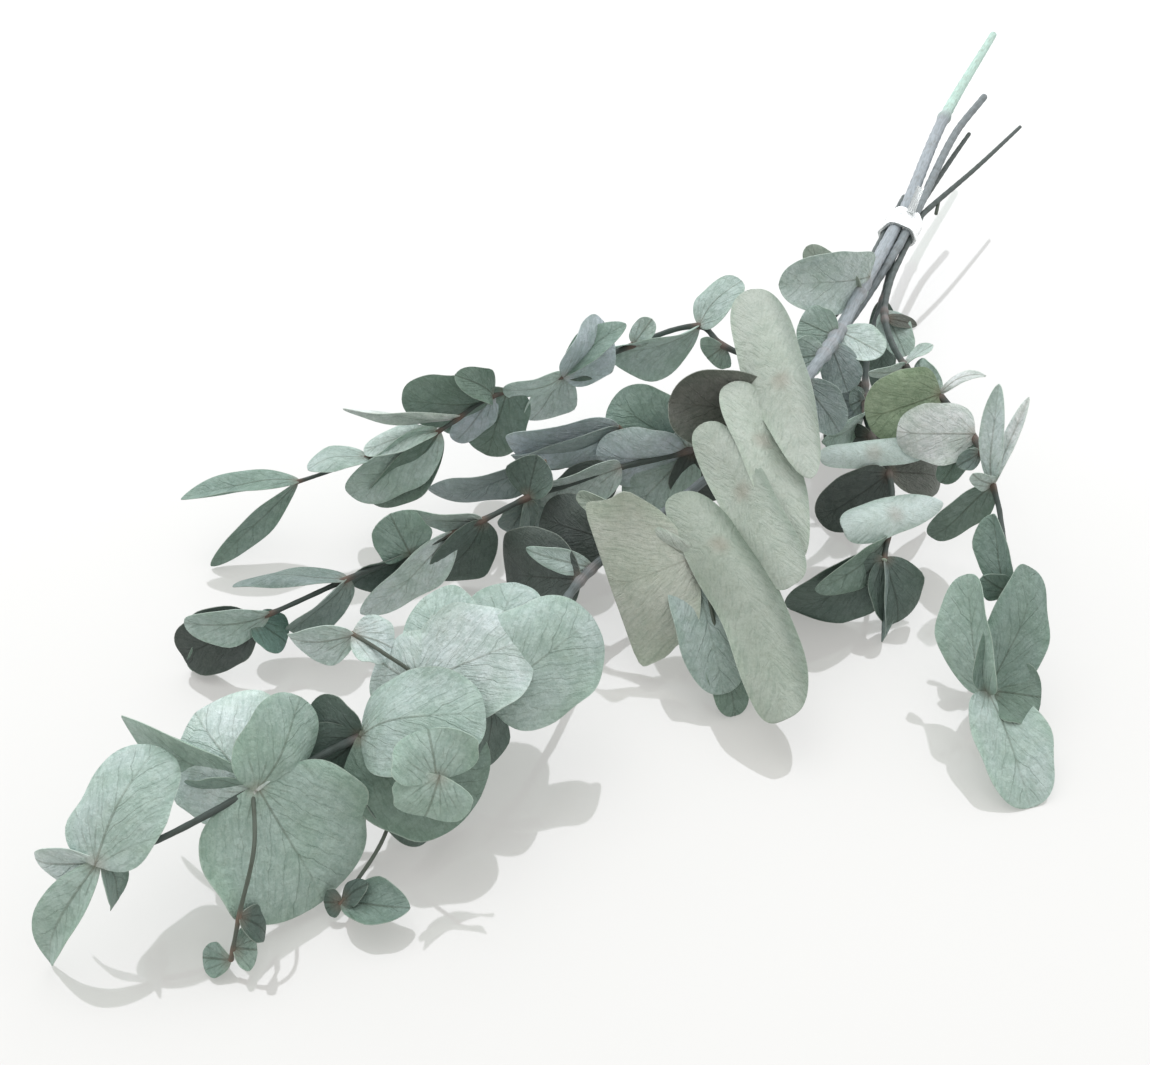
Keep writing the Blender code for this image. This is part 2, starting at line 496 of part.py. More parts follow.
def tube(name, centres, radii, sides):
    """A closed tube through the centres, its rings carried along without twisting."""
    rings = []
    course = unit(centres[1] - centres[0])
    across = unit(np.cross(course, [0.0, 0.0, 1.0]))
    last = len(centres) - 1
    for k, (centre, radius) in enumerate(zip(centres, radii)):
        course = unit(centres[min(k + 1, last)] - centres[max(k - 1, 0)])
        across = unit(across - course * (across @ course))
        upward = np.cross(across, course)
        angles = np.arange(sides) * 2 * math.pi / sides
        ring = centre + radius * (np.outer(np.cos(angles), across) + np.outer(np.sin(angles), upward))
        rings.append(ring)
    faces = []
    for k in range(last):
        for i in range(sides):
            j = (i + 1) % sides
            faces.append((k * sides + i, (k + 1) * sides + i, (k + 1) * sides + j, k * sides + j))
    faces.append(tuple(range(sides)))
    faces.append(tuple(last * sides + i for i in reversed(range(sides))))
    return outward(link(name, np.concatenate(rings), faces))


def outward(obj):
    """Turns the faces of a closed mesh outwards."""
    bm = bmesh.new()
    bm.from_mesh(obj.data)
    bmesh.ops.recalc_face_normals(bm, faces=bm.faces)
    bm.to_mesh(obj.data)
    bm.free()
    return obj


def blade(name, middle):
    """A blade of even thickness round its middle surface, split into the same triangles on both faces."""
    rows, columns = middle.shape[:2]
    faces = []
    for i in range(rows - 1):
        for j in range(columns - 1):
            a, b = i * columns + j, i * columns + j + 1
            c, d = a + columns, b + columns
            faces += [(a, c, d), (a, d, b)] if 2 * j < columns - 2 else [(a, c, b), (b, c, d)]
    obj = link(name, middle.reshape(-1, 3), faces)
    thick = obj.modifiers.new("Thickness", "SOLIDIFY")
    thick.thickness = BLADE_THICKNESS * MM
    thick.offset = 0.0
    apply_modifiers(obj)
    return outward(obj)


def apply_modifiers(obj):
    """Puts the mesh as its modifiers make it in place of the object's own."""
    graph = bpy.context.evaluated_depsgraph_get()
    mesh = bpy.data.meshes.new_from_object(obj.evaluated_get(graph))
    obj.modifiers.clear()
    obj.data = mesh


def fuse(body, pieces):
    """Joins the pieces to the body by one union."""
    group = bpy.data.collections.new(body.name + "_pieces")
    for piece in pieces:
        bpy.context.scene.collection.objects.unlink(piece)
        group.objects.link(piece)
    union = body.modifiers.new("Union", "BOOLEAN")
    union.operation = "UNION"
    union.operand_type = "COLLECTION"
    union.collection = group
    union.solver = "EXACT"
    bpy.context.scene.collection.children.link(group)
    apply_modifiers(body)
    for piece in pieces:
        bpy.data.objects.remove(piece)
    bpy.data.collections.remove(group)


def blade_steps(leaf):
    """How finely a blade is cut, along and across: a small one less, and a folded one with its crease."""
    creased = (-1.0, 0.0, 1.0)
    across_steps = creased if abs(leaf.cup) >= 0.2 else (-1.0, -0.45, 0.45, 1.0)
    if leaf.far:
        return (0.0, 0.08, 0.3, 0.5, 0.72, 0.92, 1.0), creased
    if leaf.width < 13:
        return (0.0, 0.35, 0.8, 1.0), creased
    if leaf.width < 22:
        return (0.0, 0.18, 0.5, 0.84, 1.0), creased
    if leaf.width < 28:
        return (0.0, 0.15, 0.45, 0.8, 1.0), across_steps
    return (0.0, 0.12, 0.35, 0.62, 0.86, 1.0), across_steps


def route_stations(points):
    """The stations of a tube's rings: one at each spot, and one halfway along each long stretch."""
    spans = np.linalg.norm(np.diff(points, axis=0), axis=1)
    halves = [k + 0.5 for k, span in enumerate(spans) if span > LONG_SPAN]
    return np.array(sorted(list(range(len(points))) + halves))


def make_branch(name):
    routes = branch_routes(name)
    swollen = {round(leaf.station) for leaf in BRANCHES[name]["leaves"] if leaf.route == "stem"}
    pieces = []
    for route, (points, radii, before) in routes.items():
        stations = route_stations(points)
        centres = np.array([smooth_route(points, station)[0] for station in stations])
        thickness = np.interp(stations, np.arange(len(radii)), radii)
        for k, station in enumerate(stations):
            if route == "stem" and station - before in swollen:
                thickness[k] *= NODE_SWELL
        sides = STEM_SIDES if route == "stem" else TWIG_SIDES
        pieces.append(tube(f"{name}_{route}", centres, thickness, sides))
    for k, leaf in enumerate(BRANCHES[name]["leaves"]):
        middle = blade_middle(leaf_base(routes, leaf, k), leaf, *blade_steps(leaf))
        pieces.append(blade(f"{name}_{leaf.name}", middle))
    body = pieces[0]
    body.name = name
    fuse(body, pieces[1:])
    trim_feet(body)
    keep_largest(body)
    return body


def trim_feet(body):
    """Cuts away what would lie under the table's surface, which leaves the touching blades flat there."""
    low, high = np.array(body.bound_box)[[0, 6]] / MM
    if low[2] >= 0:
        return
    (x0, y0, z0), (x1, y1, _) = low - CUTTER_MARGIN, high + CUTTER_MARGIN
    corners = [(x, y, z) for z in (z0, 0.0) for x, y in ((x0, y0), (x1, y0), (x1, y1), (x0, y1))]
    sides = [(0, 1, 2, 3), (4, 5, 6, 7), (0, 1, 5, 4), (1, 2, 6, 5), (2, 3, 7, 6), (3, 0, 4, 7)]
    below = outward(link("table_cutter", corners, sides))
    below.display_type = "WIRE"
    below.hide_render = True
    cut = body.modifiers.new("Table", "BOOLEAN")
    cut.operation = "DIFFERENCE"
    cut.object = below
    cut.solver = "EXACT"
    apply_modifiers(body)
    bpy.data.objects.remove(below)


def keep_largest(body):
    """Removes every small piece that the trimming cut free, and the skin of every pocket between blades."""
    bm = bmesh.new()
    bm.from_mesh(body.data)
    left = set(bm.faces)
    patches = []
    while left:
        patch = {left.pop()}
        front = list(patch)
        while front:
            around = {near for edge in front.pop().edges for near in edge.link_faces}
            fresh = (around - patch) & left
            patch |= fresh
            left -= fresh
            front += fresh
        patches.append(patch)
    patches.sort(key=len)
    for patch in patches[:-1]:
        bmesh.ops.delete(bm, geom=list({vert for face in patch for vert in face.verts}), context="VERTS")
    bm.to_mesh(body.data)
    bm.free()


def band_loop(gap):
    """The outline round all the stems at that distance: sideways and up from the band's middle."""
    circles = np.array(list(SLOTS.values()))
    angles = np.arange(BAND_SIDES) * 2 * math.pi / BAND_SIDES
    outward_ways = np.stack([np.cos(angles), np.sin(angles)], axis=1)
    reach = outward_ways @ circles[:, :2].T + circles[:, 2]
    furthest = circles[np.argmax(reach, axis=1)]
    return furthest[:, :2] + outward_ways * (furthest[:, 2:] + gap)


def make_band():
    """The ring round the stems with its loose end, which lies up along them towards the cut ends."""
    middle, along, sideways = band_axes()
    upward = np.array([0.0, 0.0, 1.0])
    loops = []
    for gap in (BAND_GAP, BAND_GAP + BAND_THICKNESS):
        outline = band_loop(gap)
        for end in (-BAND_WIDTH / 2, BAND_WIDTH / 2):
            loops.append(middle + outline[:, :1] * sideways + outline[:, 1:] * upward + along * end)
    faces = []
    for i in range(BAND_SIDES):
        j = (i + 1) % BAND_SIDES
        for first, second in ((0, 1), (1, 3), (3, 2), (2, 0)):
            a, b = first * BAND_SIDES, second * BAND_SIDES
            faces.append((a + i, a + j, b + j, b + i))
    ring = outward(link("tie_band", np.concatenate(loops), faces))
    length, width, thickness = LOOSE_END
    top = band_loop(BAND_GAP + BAND_THICKNESS)[:, 1].max()
    rise = math.radians(LOOSE_RISE)
    lengthways = along * math.cos(rise) + upward * math.sin(rise)
    normal = upward * math.cos(rise) - along * math.sin(rise)
    start = middle + sideways * LOOSE_ASIDE + upward * (top - BAND_THICKNESS / 2)
    start = start + along * (BAND_WIDTH / 2 - LOOSE_SEAT)
    corners = []
    for reach in (0.0, length):
        for aside, lift in ((-1, -1), (1, -1), (1, 1), (-1, 1)):
            edge = sideways * aside * width / 2 + normal * lift * thickness / 2
            corners.append(start + lengthways * reach + edge)
    sides = [(0, 1, 2, 3), (4, 5, 6, 7), (0, 1, 5, 4), (1, 2, 6, 5), (2, 3, 7, 6), (3, 0, 4, 7)]
    fuse(ring, [outward(link("tie_band_loose_end", corners, sides))])
    return ring


def material(name, colour, roughness):
    paint = bpy.data.materials.new(name)
    paint.use_nodes = True
    shader = paint.node_tree.nodes["Principled BSDF"]
    shader.inputs["Base Color"].default_value = (*colour, 1.0)
    shader.inputs["Roughness"].default_value = roughness
    return paint


def finish(body, colour, roughness):
    """Gives the body its own material and smooth shading with sharp edges."""
    body.data.materials.clear()
    body.data.materials.append(material(f"{body.name}_surface", colour, roughness))
    body.data.shade_smooth()
    body.data.set_sharp_from_angle(angle=math.radians(SMOOTH_ANGLE))


def main():
    for obj in list(bpy.data.objects):
        bpy.data.objects.remove(obj)
    for name in BRANCHES:
        finish(make_branch(name), LEAF_COLOURS[name], 0.6)
    finish(make_band(), BAND_COLOUR, 0.25)


main()
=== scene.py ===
import math
from collections import namedtuple

import bpy
import numpy as np
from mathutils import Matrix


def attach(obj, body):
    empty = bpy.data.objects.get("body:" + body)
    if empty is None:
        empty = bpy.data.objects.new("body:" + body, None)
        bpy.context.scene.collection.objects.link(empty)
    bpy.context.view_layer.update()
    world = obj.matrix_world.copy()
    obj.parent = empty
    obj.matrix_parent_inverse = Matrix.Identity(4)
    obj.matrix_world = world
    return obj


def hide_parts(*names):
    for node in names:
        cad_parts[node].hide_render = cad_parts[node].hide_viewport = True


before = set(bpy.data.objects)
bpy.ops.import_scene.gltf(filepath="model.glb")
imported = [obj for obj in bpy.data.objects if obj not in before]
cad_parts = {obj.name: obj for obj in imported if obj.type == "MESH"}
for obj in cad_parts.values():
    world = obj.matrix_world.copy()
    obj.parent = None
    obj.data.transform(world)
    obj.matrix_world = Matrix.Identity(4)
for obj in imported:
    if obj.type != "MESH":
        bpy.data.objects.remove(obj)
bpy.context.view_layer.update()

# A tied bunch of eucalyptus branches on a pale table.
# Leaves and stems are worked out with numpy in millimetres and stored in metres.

print("scene: eucalyptus bunch")

# How the bunch is seen: the eye looks along +Y from above the table.
# Stems and leaf tips are given as they are seen, across and down the picture, with a height over the table.
picture = {
    "focalPixels": 1250.0,
    "width": 1150,
    "sensorWidth": 36.0,
    "middle": (575.0, 532.5),
    "eyeHeight": 325.0,
    "eyeTilt": 45.0,  # degrees below the horizon
    "bunchCentre": (37.98, 401.01),  # middle of the bunch on the table, from the point under the eye
}

leafFields = "name route station across down height width turn arch cup tone form far"
leafRow = namedtuple("leafRow", leafFields, defaults=["round", None])
# cutEnd, stem, twigs: the spots of a stem: across and down the picture, its height and its radius
# a twig starts with the station of the stem that it grows from
# leaves: in the order of the fields above
# station: the spot of the stem or twig that the leaf grows from, with fractions between spots
# across, down, height: its tip; turn: how far it is rolled about its midrib from facing the eye
# arch: bulge of the midrib towards the eye, as a share of its length; cup: how far the edges rise
# tone and form: its colour and outline, by their names in the dictionaries below
# far: the other end of two leaves that grew together across the stem into one blade

branches = {}

branches["branch_front_left"] = {
    "cutEnd": [(984, 97, 44, 1.7), (955, 134, 42, 1.8)],
    "stem": [
        (850, 320, 34, 1.8), (760, 430, 32, 1.7), (680, 500, 31, 1.7), (620, 545, 27, 1.6),
        (580, 581, 29, 1.5), (545, 630, 32, 1.5), (487, 703, 32, 1.4), (425, 722, 31, 1.3),
        (359, 738, 32, 1.3), (305, 764, 34, 1.1), (253, 790, 36, 1.1), (162, 838, 36, 0.9),
        (97, 862, 34, 0.9),
    ],
    "twigs": {
        "shelf": (8, [(400, 762, 37, 0.6), (441, 779, 40, 0.6)]),
        "low": (8, [(385, 790, 20, 0.6), (386, 832, 13, 0.6), (340, 905, 6, 0.6)]),
        "hanging": (10, [(254, 848, 34, 0.6), (240, 912, 22, 0.6), (231, 960, 6, 0.6)]),
        "raised": (7, [(421, 683, 38, 0.6), (382, 652, 44, 0.6), (351, 633, 46, 0.6)]),
    },
    "leaves": [
        ("endUp", "stem", 12, 158, 747, 44, 25, 25, 0.12, -0.15, "sage", "heart"),
        ("endDown", "stem", 12, 51, 963, 1, 13, -35, 0.14, 0.20, "jade", "point"),
        ("endFar", "stem", 12, 36, 858, 28, 13, 45, 0.10, 0.20, "mist", "point"),
        ("endSide", "stem", 12, 118, 899, 16, 16, 50, 0.05, 0.10, "green", "point"),
        ("secondLeft", "stem", 10, 196, 713, 42, 38, 15, 0.12, -0.38, "mist", "heart"),
        ("secondBack", "stem", 10, 122, 717, 38, 20, 60, 0.05, 0.10, "jade", "point"),
        ("secondUp", "stem", 10, 300, 697, 47, 22, -30, 0.12, -0.20, "jade", "heart"),
        ("secondRound", "stem", 10, 322, 901, 5, 46, 10, 0.10, -0.10, "jade", "heart"),
        ("secondUnder", "stem", 10, 190, 790, 28, 16, 55, 0.05, 0.10, "green"),
        ("thirdUp", "stem", 8, 306, 716, 36, 22, 30, 0.08, 0.10, "dark"),
        ("thirdLow", "stem", 8, 305, 775, 20, 24, 20, 0.10, 0.10, "dark"),
        ("thirdRight", "stem", 8, 485, 712, 42, 30, 20, 0.20, -0.20, "sage", "heart"),
        ("thirdBroad", "stem", 8, 480, 797, 14, 40, 0, 0.10, -0.10, "moss", "heart"),
        ("thirdTable", "stem", 8, 430, 838, 2, 22, 20, 0.05, 0.10, "dark"),
        ("fourthSide", "stem", 6, 486, 768, 15, 18, 55, 0.05, 0.10, "dark"),
        ("shelfUp", "shelf", 2, 428, 729, 50, 24, -10, 0.10, 0.15, "jade", "heart"),
        ("shelfDown", "shelf", 2, 425, 816, 30, 22, 10, 0.10, 0.25, "jade", "heart"),
        ("lowLong", "low", 3, 410, 908, 8, 13, 20, 0.05, 0.30, "green", "point"),
        ("lowBud", "low", 3, 368, 884, 12, 8, 40, 0.05, 0.10, "dark", "point"),
        ("lowSide", "low", 3, 324, 902, 6, 9, 20, 0.05, 0.10, "dark", "point"),
        ("hangingLeft", "hanging", 3, 203, 957, 1, 9, 20, 0.05, 0.20, "green", "point"),
        ("hangingRight", "hanging", 2.1, 265, 933, 8, 10, 30, 0.05, 0.20, "dark", "point"),
        ("hangingPale", "hanging", 2.8, 257, 950, 3, 12, 10, 0.05, 0.10, "jade", "point"),
        ("raisedLeft", "raised", 3, 290, 637, 42, 14, 50, 0.10, 0.20, "mist"),
        ("raisedRight", "raised", 3, 392, 648, 40, 16, 20, 0.10, 0.20, "mist"),
        ("fourthPale", "raised", 1, 527, 640, 46, 34, 15, 0.15, -0.20, "mist", "heart"),
        ("fourthPaleLeft", "raised", 1, 378, 660, 36, 26, 10, 0.10, -0.10, "pale"),
        ("fourthBack", "stem", 6, 424, 598, 40, 30, 20, 0.15, -0.10, "sage"),
        ("fourthVeined", "stem", 6, 592, 617, 44, 34, 0, 0.18, -0.25, "sage", "heart"),
        ("fourthTop", "stem", 6, 515, 583, 42, 26, 10, 0.15, -0.15, "sage"),
        ("fifthDark", "stem", 4, 506, 572, 8, 34, 10, 0.10, 0.10, "night"),
        ("fifthEdge", "stem", 3.7, 526, 548, 36, 8, 15, 0.10, 0.10, "sage", "point"),
        ("sixthDark", "stem", 3, 541, 517, 24, 24, 0, 0.10, 0.10, "night"),
    ],
}

branches["branch_low_left"] = {
    "cutEnd": [],
    "stem": [
        (832, 345, 29, 1.4), (762, 418, 30, 1.3), (689, 450, 33, 1.2), (614, 469, 32, 1.1),
        (563, 486, 31, 1.1), (527, 498, 30, 1.0), (481, 521, 29, 1.0), (408, 553, 27, 0.9),
        (345, 580, 25, 0.9), (272, 613, 20, 0.8), (240, 625, 18, 0.7),
    ],
    "twigs": {
        "upper": (2.5, [(636, 442, 38, 0.6), (618, 426, 42, 0.6)]),
        "middle": (4.4, [(547, 470, 38, 0.6), (544, 460, 41, 0.6)]),
    },
    "leaves": [
        ("topSmall", "stem", 2, 675, 433, 40, 9, 10, 0.05, 0.10, "mist"),
        ("topGrey", "stem", 2.1, 596, 456, 34, 24, 35, 0.10, -0.20, "lavender"),
        ("topWrinkled", "stem", 2, 632, 510, 14, 24, 10, 0.05, 0.10, "sage"),
        ("topDark", "stem", 2, 702, 502, 12, 21, 0, 0.10, 0.20, "night"),
        ("topDeep", "stem", 2, 612, 400, 46, 26, 10, 0.10, 0.10, "green"),
        ("upperLong", "upper", 2, 507, 441, 32, 22, 45, 0.10, 0.20, "lavender"),
        ("upperUnder", "upper", 2, 512, 456, 26, 16, 50, 0.10, 0.30, "steel"),
        ("secondOpen", "stem", 3, 529, 494, 28, 15, 42, 0.08, 0.30, "pale", "heart"),
        ("secondInside", "stem", 3, 552, 508, 12, 18, 10, 0.05, 0.10, "night"),
        ("thirdStanding", "stem", 5, 537, 455, 44, 18, 20, 0.05, 0.20, "dark", "point"),
        ("middleLong", "middle", 2, 429, 490, 16, 15, 55, 0.08, 0.20, "steel", "point"),
        ("thirdSmall", "stem", 5.05, 509, 532, 12, 13, 20, 0.05, 0.10, "slate"),
        ("thirdSide", "stem", 5, 536, 538, 8, 12, 30, 0.05, 0.10, "slate"),
        ("fourthEdge", "stem", 6, 403, 511, 36, 14, 65, 0.05, 0.10, "pale", "point"),
        ("fourthDark", "stem", 6, 436, 580, 5, 24, 45, 0.10, 0.20, "dark"),
        ("fourthPale", "stem", 6.4, 361, 614, 6, 20, 50, 0.05, 0.10, "mist", "point"),
        ("fifthRound", "stem", 7, 390, 514, 44, 19, 0, 0.05, 0.10, "green", "heart"),
        ("fifthFold", "stem", 7, 350, 584, 14, 20, 60, 0.05, 0.20, "dark"),
        ("sixthNarrow", "stem", 8, 233, 586, 22, 12, -60, 0.05, 0.10, "slate"),
        ("sixthFold", "stem", 8, 290, 631, 8, 15, 50, 0.05, 0.40, "slate"),
        ("endPale", "stem", 9.1, 184, 622, 24, 13, 42, 0.14, 0.25, "sage"),
        ("endDark", "stem", 9.6, 182, 655, 6, 22, 10, 0.05, 0.25, "night"),
        ("endBack", "stem", 9.7, 286, 643, 8, 15, 30, 0.10, 0.10, "teal"),
        ("endTable", "stem", 10, 193, 671, 0, 13, 10, 0.05, 0.05, "moss"),
    ],
}

branches["branch_upper_left"] = {
    "cutEnd": [],
    "stem": [
        (850, 298, 37, 1.4), (800, 340, 38, 1.3), (748, 354, 42, 1.2), (722, 345, 45, 1.1),
        (698, 326, 46, 1.1), (631, 346, 44, 1.0), (562, 376, 42, 1.0), (491, 397, 40, 0.9),
        (437, 432, 35, 0.8), (366, 458, 30, 0.8), (297, 482, 24, 0.7), (277, 485, 23, 0.6),
    ],
    "twigs": {},
    "leaves": [
        ("firstUp", "stem", 4, 742, 281, 62, 18, 45, 0.10, 0.10, "sage"),
        ("firstBoat", "stem", 4, 604, 352, 38, 24, 50, 0.12, 0.40, "sage", "point"),
        ("firstSide", "stem", 3, 707, 358, 40, 16, 30, 0.05, 0.10, "jade"),
        ("secondSmall", "stem", 5, 652, 319, 54, 9, 10, 0.05, 0.10, "pale"),
        ("thirdTip", "stem", 6, 626, 324, 56, 14, 40, 0.10, 0.20, "green", "point"),
        ("thirdBroad", "stem", 6, 603, 321, 54, 22, -40, 0.15, 0.10, "lavender", "heart"),
        ("thirdDark", "stem", 6, 612, 366, 36, 9, 20, 0.05, 0.10, "dark"),
        ("thirdHanging", "stem", 6, 530, 420, 24, 20, 50, 0.05, 0.10, "pale"),
        ("thirdEdge", "stem", 6, 503, 389, 44, 13, 55, 0.10, 0.10, "pale"),
        ("fourthHanging", "stem", 6.8, 487, 455, 12, 22, 0, 0.05, -0.10, "moss", "heart"),
        ("fourthPale", "stem", 7, 455, 441, 20, 12, 30, 0.05, 0.10, "lavender"),
        ("fourthDark", "stem", 7, 402, 400, 42, 24, 40, 0.10, -0.20, "moss"),
        ("fourthLow", "stem", 7, 444, 431, 24, 13, 40, 0.05, 0.10, "green"),
        ("fourthCurl", "stem", 7, 455, 375, 54, 12, -20, 0.20, 0.30, "moss"),
        ("fifthFaint", "stem", 7.6, 343, 409, 50, 10, 60, 0.05, 0.10, "faint", "point"),
        ("fifthLong", "stem", 8, 349, 494, 15, 20, 30, 0.08, 0.20, "sage"),
        ("fifthBack", "stem", 8, 364, 453, 32, 14, -55, 0.06, 0.10, "pale"),
        ("fifthDark", "stem", 8, 372, 503, 8, 17, 30, 0.10, 0.20, "moss"),
        ("sixthEdge", "stem", 9, 308, 470, 32, 16, -60, 0.10, 0.10, "sage"),
        ("endLeft", "stem", 10, 181, 499, 22, 12, -60, 0.06, 0.10, "green", "point"),
        ("endDown", "stem", 10, 211, 566, 1, 11, 50, 0.03, 0.10, "green", "point"),
    ],
}

branches["branch_centre"] = {
    "cutEnd": [(993, 35, 46, 1.9), (944, 118, 42, 2.7)],
    "stem": [
        (864, 284, 43, 2.6), (836, 337, 46, 2.4), (803, 383, 50, 2.1), (777, 424, 47, 1.8),
        (750, 470, 42, 1.6), (720, 522, 36, 1.3), (689, 561, 31, 1.1),
    ],
    "twigs": {
        "under": (5.5, [(708, 590, 28, 0.6), (718, 640, 18, 0.6)]),
        "firstStalk": (2, [(781, 385, 64.4, 0.6)]),
        "secondStalk": (3, [(762, 440, 55, 0.6)]),
        "thirdStalk": (4, [(741, 490, 46.4, 0.6)]),
        "fourthStalk": (5.4, [(719, 548, 36.8, 0.6)]),
    },
    "leaves": [
        ("firstStrap", "firstStalk", 1, 811, 478, 53, 21, 8, 0, 0.05, "cream", "tongue", (749, 290, 76)),
        ("secondStrap", "secondStalk", 1, 802, 558, 37, 18, 8, 0, 0.05, "cream", "tongue",
         (733, 382, 62)),
        ("thirdStrap", "thirdStalk", 1, 793, 585, 35, 18, -6, 0, 0.05, "cream", "twin", (702, 424, 54)),
        ("fourthStrap", "fourthStalk", 1, 786, 719, 16, 22, 8, 0, 0.05, "stone", "twin", (678, 493, 43)),
        ("secondCurl", "stem", 3, 669, 402, 55, 29, 10, -0.10, 0.50, "umber", "heart"),
        ("endBroad", "stem", 6, 611, 587, 27, 57, 5, 0.10, -0.05, "beige", "fan"),
        ("endFold", "stem", 6, 577, 494, 42, 8, 10, 0.05, 0.10, "cream", "strap"),
        ("endDown", "stem", 6, 723, 694, 8, 22, 10, 0.05, 0.05, "fog", "heart"),
        ("underTip", "under", 2, 735, 716, 0, 14, 20, 0.05, 0.10, "moss"),
        ("bareOlive", "stem", 0, 779, 285, 58, 24, 10, 0.10, 0.20, "pale", "heart"),
        ("bareBack", "stem", 0.2, 806, 247, 60, 13, 30, 0.05, 0.20, "stone"),
        ("barePale", "stem", 1, 800, 320, 47, 17, 10, 0.05, 0.10, "sage"),
        ("bareRight", "stem", 0.9, 883, 354, 47, 14, 20, 0.05, 0.10, "mist"),
        ("bareLeft", "stem", 1.4, 790, 358, 44, 15, 10, 0.05, 0.10, "sage"),
        ("bareDeep", "stem", 1.2, 848, 392, 34, 15, 10, 0.05, 0.10, "steel"),
        ("firstBack", "stem", 2, 839, 432, 36, 15, 10, 0.10, 0.10, "steel"),
    ],
}

branches["branch_right"] = {
    "cutEnd": [(969, 134, 35, 1.0), (950, 161, 34, 1.2)],
    "stem": [
        (884, 295, 33, 1.3), (868, 350, 31, 1.3), (866, 412, 29, 1.2), (874, 443, 27, 1.2),
        (889, 474, 26, 1.1), (892, 506, 25, 1.0), (884, 560, 22, 0.9),
    ],
    "twigs": {
        "secondStalk": (3.2, [(873, 453, 33, 0.6)]),
        "fourthStalk": (4.8, [(895, 514, 30.5, 0.6)]),
    },
    "leaves": [
        ("bareUnder", "stem", 0.1, 880, 393, 0, 12, 10, 0.05, 0.05, "dark"),
        ("firstStrip", "stem", 2, 822, 442, 32, 12, 50, 0.10, 0.10, "sage", "point"),
        ("firstSmall", "stem", 1.8, 850, 405, 30, 11, 20, 0.05, 0.10, "slate"),
        ("secondStrip", "secondStalk", 1, 926, 449, 34, 10, 10, 0, 0.05, "mist", "twin", (820, 457, 33)),
        ("secondDark", "stem", 2.8, 824, 440, 18, 13, 10, 0.05, 0.10, "night"),
        ("secondDeep", "stem", 2.8, 906, 437, 18, 11, 10, 0.05, 0.10, "night"),
        ("firstDeep", "stem", 1.6, 838, 400, 14, 22, 20, 0.05, 0.10, "night"),
        ("firstGrey", "stem", 1.9, 817, 397, 24, 14, 20, 0.05, 0.10, "steel"),
        ("bareDark", "stem", 1, 841, 372, 22, 13, 20, 0.05, 0.10, "dark"),
        ("thirdLeft", "stem", 4, 819, 521, 12, 21, 20, 0.05, 0.10, "night"),
        ("thirdRight", "stem", 4, 940, 478, 14, 17, 20, 0.10, 0.10, "umber"),
        ("fourthStrip", "fourthStalk", 1, 943, 503, 31, 14, 10, 0, -0.10, "mist", "tongue",
         (843, 529, 30)),
        ("endUpper", "stem", 5.6, 815, 590, 20, 15, 50, 0.10, 0.20, "moss", "point"),
        ("endLeft", "stem", 6, 786, 606, 1, 26, 40, 0.12, 0.20, "dark", "point"),
        ("endRolled", "stem", 6, 882, 642, 0, 11, 70, 0.05, 0.30, "slate", "point"),
        ("endRight", "stem", 6, 897, 622, 2, 20, 30, 0.10, 0.10, "dark"),
    ],
}

branches["branch_far_right"] = {
    "cutEnd": [(1020, 127, 32, 0.9), (976, 168, 35, 1.1)],
    "stem": [
        (890, 283, 38, 1.3), (885, 320, 40, 1.3), (905, 366, 43, 1.2), (940, 396, 43, 1.1),
        (970, 431, 40, 1.1), (988, 468, 36, 1.0), (993, 486, 34, 1.0), (1000, 514, 31, 0.9),
        (1007, 596, 26, 0.9), (987, 695, 13, 0.8),
    ],
    "twigs": {
        "stub": (-4.3, [(936, 214, 33, 0.8)]),
    },
    "leaves": [
        ("firstLeft", "stem", 2, 869, 372, 48, 9, 62, 0.05, 0.10, "mist", "point"),
        ("firstRight", "stem", 2, 933, 345, 50, 9, 62, 0.05, 0.10, "pale", "point"),
        ("bareLong", "stem", 0.8, 906, 356, 31, 13, 20, 0.05, 0.10, "sage"),
        ("barePoint", "stem", 1, 917, 325, 38, 6, 20, 0.05, 0.10, "umber", "point"),
        ("secondOlive", "stem", 3, 866, 418, 38, 26, 10, 0.10, 0.10, "olive", "heart"),
        ("secondSmall", "stem", 3, 918, 361, 46, 9, 20, 0.05, 0.10, "sage"),
        ("secondHook", "stem", 3, 986, 376, 50, 5, 30, 0.30, 0.10, "faint", "point"),
        ("thirdPale", "stem", 4.2, 897, 431, 41, 21, 10, 0.10, -0.20, "faint", "heart"),
        ("thirdBack", "stem", 4, 941, 483, 25, 11, 20, 0.10, 0.10, "moss"),
        ("thirdEdge", "stem", 4.6, 957, 466, 34, 8, 20, 0.05, 0.10, "slate", "point"),
        ("fourthLeft", "stem", 6, 931, 537, 8, 13, 35, 0.05, 0.20, "moss"),
        ("fourthUp", "stem", 6, 999, 384, 66, 9, 20, 0.06, 0.30, "mist", "point"),
        ("fourthFaint", "stem", 6, 1029, 397, 62, 5, 20, 0.05, 0.10, "faint", "point"),
        ("fourthTip", "stem", 6, 973, 474, 42, 7, 30, 0.05, 0.10, "pale"),
        ("fifthRolled", "stem", 8, 993, 514, 44, 12, 30, 0.06, 0.60, "green"),
        ("fifthLeft", "stem", 8, 983, 576, 34, 10, 20, 0.05, 0.10, "green"),
        ("fifthLow", "stem", 8, 1007, 640, 14, 8, 20, 0.05, 0.10, "green"),
        ("endLeft", "stem", 9, 968, 574, 38, 19, 40, 0.10, 0.20, "jade", "heart"),
        ("endRight", "stem", 9, 1028, 566, 38, 22, -35, 0.10, 0.20, "green", "heart"),
        ("endSide", "stem", 9, 1041, 697, 14, 20, 10, 0.10, 0.10, "moss"),
        ("endDown", "stem", 9, 1030, 808, 0, 24, 35, 0.08, 0.15, "sage", "heart"),
    ],
}

